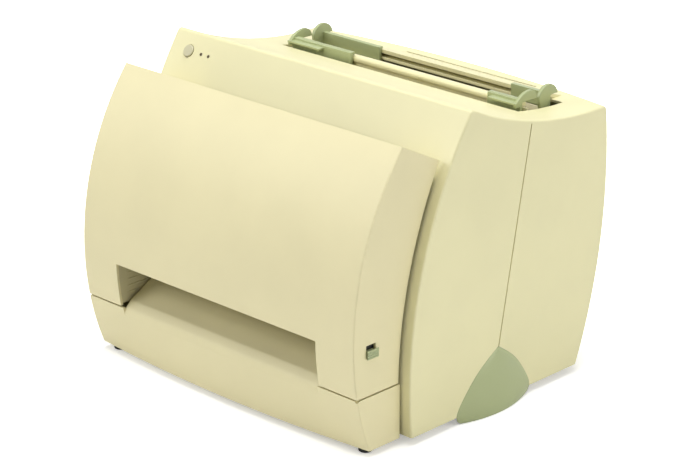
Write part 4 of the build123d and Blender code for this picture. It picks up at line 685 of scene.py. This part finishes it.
def draw_fuser_louvres():
    """Bars that keep fingers off the hot roller."""
    shape = bmesh.new()
    for index in range(LOUVRES):
        x = (index - (LOUVRES - 1) / 2) * LOUVRE_PITCH
        for low, high in LOUVRE_BARS:
            block(shape, (x - LOUVRE_HALF, *low), (x + LOUVRE_HALF, *high))
    finish_piece("fuser_louvres", shape, "black_plastic", "case", radius=0.25)


# Studio and camera, in metres
AZIMUTH = math.radians(44.1)
ELEVATION = math.radians(20.8)
CAMERA_AT = (1.4333, -1.4718, 0.8941)
LENS = 128.76
SENSOR_WIDTH = 36.0
CAMERA_REACH = 50
LAMPS = (("key", (-1.1, -1.6, 1.3), (1.0, 0.9)), ("fill", (2.0, 0.9, 1.1), (1.4, 1.4)),
         ("top", (0.0, -0.1, 2.0), (1.6, 1.6)))
LAMP_TARGET = (0, 0, 0.14)
FLOOR_HALF = 8.0
FLOOR_Z = -0.0003
GLOW_FROM = 0.25
GLOW_FULL = 0.6
# Paper fibres are too fine to show: their clouds are drawn at 25 mm.
FIBRE_MM = 25.0


def aim(thing, back):
    """Turns a camera or lamp so that its back points this way."""
    thing.rotation_euler = Vector(back).to_track_quat("Z", "Y").to_euler()


def add_camera():
    """Camera at the photo's viewing angle."""
    data = bpy.data.cameras.new("photo camera")
    data.sensor_width = SENSOR_WIDTH
    data.lens = LENS
    data.clip_end = CAMERA_REACH
    camera = bpy.data.objects.new("photo camera", data)
    camera.location = CAMERA_AT
    flat = math.cos(ELEVATION)
    aim(camera, (math.sin(AZIMUTH) * flat, -math.cos(AZIMUTH) * flat, math.sin(ELEVATION)))
    bpy.context.scene.collection.objects.link(camera)
    bpy.context.scene.camera = camera


def add_lamp(name, place, size, power):
    """Soft box aimed at the printer's middle."""
    data = bpy.data.lights.new(name, "AREA")
    data.shape = "RECTANGLE"
    data.size, data.size_y = size
    data.energy = power
    lamp = bpy.data.objects.new(name, data)
    lamp.location = place
    aim(lamp, Vector(place) - Vector(LAMP_TARGET))
    bpy.context.scene.collection.objects.link(lamp)


def sweep_material(colour, glow):
    """White paper sweep: burnt out to the camera, as in a catalogue shot, but still shaded by the object."""
    material, tree, shader, where = blank_material("Paper sweep matt white")
    fibre = put(tree, "ShaderNodeTexNoise", {"Vector": where, "Scale": 1 / (FIBRE_MM * MM), "Detail": 3.0})
    tone = mixed(tree, fibre.outputs["Fac"], colour, darker(colour, 0.985))
    tree.links.new(tone, shader.inputs["Base Color"])
    shader.inputs["Roughness"].default_value = 0.95
    away = put(tree, "ShaderNodeVectorMath", {0: where}, operation="LENGTH")
    reach = put(tree, "ShaderNodeMapRange", {"Value": away.outputs["Value"], "From Min": GLOW_FROM,
                                             "From Max": GLOW_FULL, "To Min": glow, "To Max": 1.0})
    rays = put(tree, "ShaderNodeLightPath")
    seen = put(tree, "ShaderNodeMath", {0: reach.outputs["Result"], 1: rays.outputs["Is Camera Ray"]},
               operation="MULTIPLY")
    tree.links.new(seen.outputs[0], shader.inputs["Emission Strength"])
    shader.inputs["Emission Color"].default_value = (1, 1, 1, 1)
    return material


def add_floor(colour, glow):
    """Flat white sweep under the printer."""
    mesh = bpy.data.meshes.new("floor")
    corners = ((-1, -1), (1, -1), (1, 1), (-1, 1))
    mesh.from_pydata([(x * FLOOR_HALF, y * FLOOR_HALF, FLOOR_Z) for x, y in corners], [], [(0, 1, 2, 3)])
    floor = bpy.data.objects.new("floor", mesh)
    bpy.context.scene.collection.objects.link(floor)
    mesh.materials.append(sweep_material(colour, glow))


def add_world(strength):
    """White to the camera, to gloss and to glass, and soft light from all round on the printer."""
    world = bpy.data.worlds.new("studio")
    bpy.context.scene.world = world
    world.use_nodes = True
    tree = world.node_tree
    tree.nodes.clear()
    rays = put(tree, "ShaderNodeLightPath")
    seen = put(tree, "ShaderNodeMath", {0: rays.outputs["Is Camera Ray"], 1: rays.outputs["Is Glossy Ray"]},
               operation="MAXIMUM")
    through = put(tree, "ShaderNodeMath", {0: seen.outputs[0], 1: rays.outputs["Is Transmission Ray"]},
                  operation="MAXIMUM")
    level = put(tree, "ShaderNodeMapRange", {"Value": through.outputs[0], "To Min": strength,
                                             "To Max": 1.0})
    sky = put(tree, "ShaderNodeBackground", {"Color": (1, 1, 1, 1), "Strength": level.outputs["Result"]})
    put(tree, "ShaderNodeOutputWorld", {"Surface": sky.outputs["Background"]})


def add_studio(colours, light):
    """Floor, world and lamps at a plain level."""
    add_floor(colours.floor, light.floor_glow)
    add_world(light.world_level)
    for name, place, size in LAMPS:
        add_lamp(name, place, size, getattr(light, f"{name}_power"))
    bpy.context.scene.view_settings.view_transform = "Standard"


# What the panel offers
def colour_property(name, description, code):
    """A colour that starts from its sRGB hex value."""
    return bpy.props.FloatVectorProperty(name=name, description=description, subtype="COLOR", size=4,
                                         default=srgb(code))


class PrinterColours(bpy.types.PropertyGroup):
    """Colours of the mouldings and of the floor"""
    case: colour_property("Case", "Ivory of the case shells", "#E6E0B1")
    door: colour_property("Door", "Cream of the front door", "#E4DBAE")
    # darkened below the mouldings' own beige to paint the shade in the output slot's recess; the liner and
    # the base pan wear it
    inner: colour_property("Inner", "Greyish beige of the inner mouldings", "#C4BC94")
    chute: colour_property("Chute", "Pale beige of the paper input", "#E0D8B4")
    green: colour_property("Green", "Sage green of the feet and guides", "#A9B282")
    button: colour_property("Button", "Greyish beige of the button", "#C4BF9C")
    floor: colour_property("Floor", "White of the paper sweep", "#FFFFFF")


class PrinterLight(bpy.types.PropertyGroup):
    """Strength of the studio's light"""
    world_level: bpy.props.FloatProperty(name="World light",
                                         description="Strength of the light from all round",
                                         default=0.16, min=0)
    floor_glow: bpy.props.FloatProperty(name="Floor glow",
                                        description="White the sweep adds near the printer",
                                        default=0.35, min=0)
    key_power: bpy.props.FloatProperty(name="Key lamp", description="Power of the large lamp in front",
                                       default=15.6, min=0, subtype="POWER", unit="POWER")
    fill_power: bpy.props.FloatProperty(name="Fill lamp", description="Power of the lamp on the right",
                                        default=18.5, min=0, subtype="POWER", unit="POWER")
    top_power: bpy.props.FloatProperty(name="Top lamp", description="Power of the lamp above",
                                       default=37.0, min=0, subtype="POWER", unit="POWER")


class PrinterSizes(bpy.types.PropertyGroup):
    """Sizes of the fine pieces, in millimetres"""
    guide_round: bpy.props.FloatProperty(name="Guide rounding",
                                         description="Edge radius of the guides in millimetres",
                                         default=0.7, min=0.05, max=0.9)


class PRINTER_OT_studio(bpy.types.Operator):
    """Adds the floor, the lamps and the camera"""
    bl_idname = "printer.studio"
    bl_label = "Studio"

    def execute(self, context):
        add_camera()
        add_studio(context.scene.printer_colours, context.scene.printer_light)
        return {"FINISHED"}


class PRINTER_OT_finishes(bpy.types.Operator):
    """Gives every part of the frame its material"""
    bl_idname = "printer.finishes"
    bl_label = "Finishes"

    def execute(self, context):
        FINISHES.update(make_finishes(context.scene.printer_colours))
        dress_nodes()
        return {"FINISHED"}


class PRINTER_OT_lever(bpy.types.Operator):
    """Adds the ribbed grip of the paper path lever and its slide"""
    bl_idname = "printer.lever"
    bl_label = "Paper path lever"

    def execute(self, context):
        draw_lever()
        return {"FINISHED"}


class PRINTER_OT_guides(bpy.types.Operator):
    """Rounds the edges of the four paper guides"""
    bl_idname = "printer.guides"
    bl_label = "Paper guides"

    def execute(self, context):
        draw_guides(context.scene.printer_sizes.guide_round)
        return {"FINISHED"}


class PRINTER_OT_feet(bpy.types.Operator):
    """Adds the moulded rubber feet"""
    bl_idname = "printer.feet"
    bl_label = "Rubber feet"

    def execute(self, context):
        draw_rubber_feet()
        return {"FINISHED"}


class PRINTER_OT_ribs(bpy.types.Operator):
    """Adds the ribs of the door liner and the output slot"""
    bl_idname = "printer.ribs"
    bl_label = "Liner and slot ribs"

    def execute(self, context):
        draw_liner_ribs()
        draw_slot_ribs()
        return {"FINISHED"}


class PRINTER_OT_ticks(bpy.types.Operator):
    """Adds the size ticks of the paper input"""
    bl_idname = "printer.ticks"
    bl_label = "Size ticks"

    def execute(self, context):
        draw_size_ticks()
        return {"FINISHED"}


class PRINTER_OT_rear(bpy.types.Operator):
    """Adds the louvres of the rear cover and the contacts of its connectors"""
    bl_idname = "printer.rear"
    bl_label = "Rear cover"

    def execute(self, context):
        draw_vents()
        draw_connectors()
        return {"FINISHED"}


class PRINTER_OT_boards(bpy.types.Operator):
    """Adds the parts on the circuit boards"""
    bl_idname = "printer.boards"
    bl_label = "Circuit boards"

    def execute(self, context):
        draw_boards()
        return {"FINISHED"}


class PRINTER_OT_drive(bpy.types.Operator):
    """Adds the turned can of the drive motor, the clips and the bushings"""
    bl_idname = "printer.drive"
    bl_label = "Motor, clips and bushings"

    def execute(self, context):
        draw_motor()
        draw_drive_fittings()
        return {"FINISHED"}


class PRINTER_OT_imaging(bpy.types.Operator):
    """Adds the grips of the cartridge and the louvres of the fuser"""
    bl_idname = "printer.imaging"
    bl_label = "Cartridge and fuser"

    def execute(self, context):
        draw_cartridge_grips()
        draw_fuser_louvres()
        return {"FINISHED"}


class PRINTER_PT_panel(bpy.types.Panel):
    """Lists the printer's steps"""
    bl_idname = "PRINTER_PT_panel"
    bl_label = "Laser printer"
    bl_space_type = "VIEW_3D"
    bl_region_type = "UI"
    bl_category = "Printer"

    def draw(self, context):
        for operator in OPERATORS:
            self.layout.operator(operator.bl_idname)


OPERATORS = (PRINTER_OT_studio, PRINTER_OT_finishes, PRINTER_OT_lever, PRINTER_OT_guides, PRINTER_OT_feet,
             PRINTER_OT_ribs, PRINTER_OT_ticks, PRINTER_OT_rear, PRINTER_OT_boards, PRINTER_OT_drive,
             PRINTER_OT_imaging)
GROUPS = (("printer_colours", PrinterColours), ("printer_light", PrinterLight),
          ("printer_sizes", PrinterSizes))
CLASSES = (*[group for name, group in GROUPS], *OPERATORS, PRINTER_PT_panel)


def register():
    """Adds the classes and their settings to Blender."""
    for item in CLASSES:
        bpy.utils.register_class(item)
    for name, group in GROUPS:
        setattr(bpy.types.Scene, name, bpy.props.PointerProperty(type=group))


def unregister():
    """Takes them away again."""
    for name, group in GROUPS:
        delattr(bpy.types.Scene, name)
    for item in reversed(CLASSES):
        bpy.utils.unregister_class(item)


def main():
    """Draws everything in order."""
    register()
    for operator in OPERATORS:
        group, name = operator.bl_idname.split(".")
        result = getattr(getattr(bpy.ops, group), name)()
        if result != {"FINISHED"}:
            raise RuntimeError(f"{operator.bl_idname} didn't finish")
    bpy.context.view_layer.update()


if __name__ == "__main__":
    main()
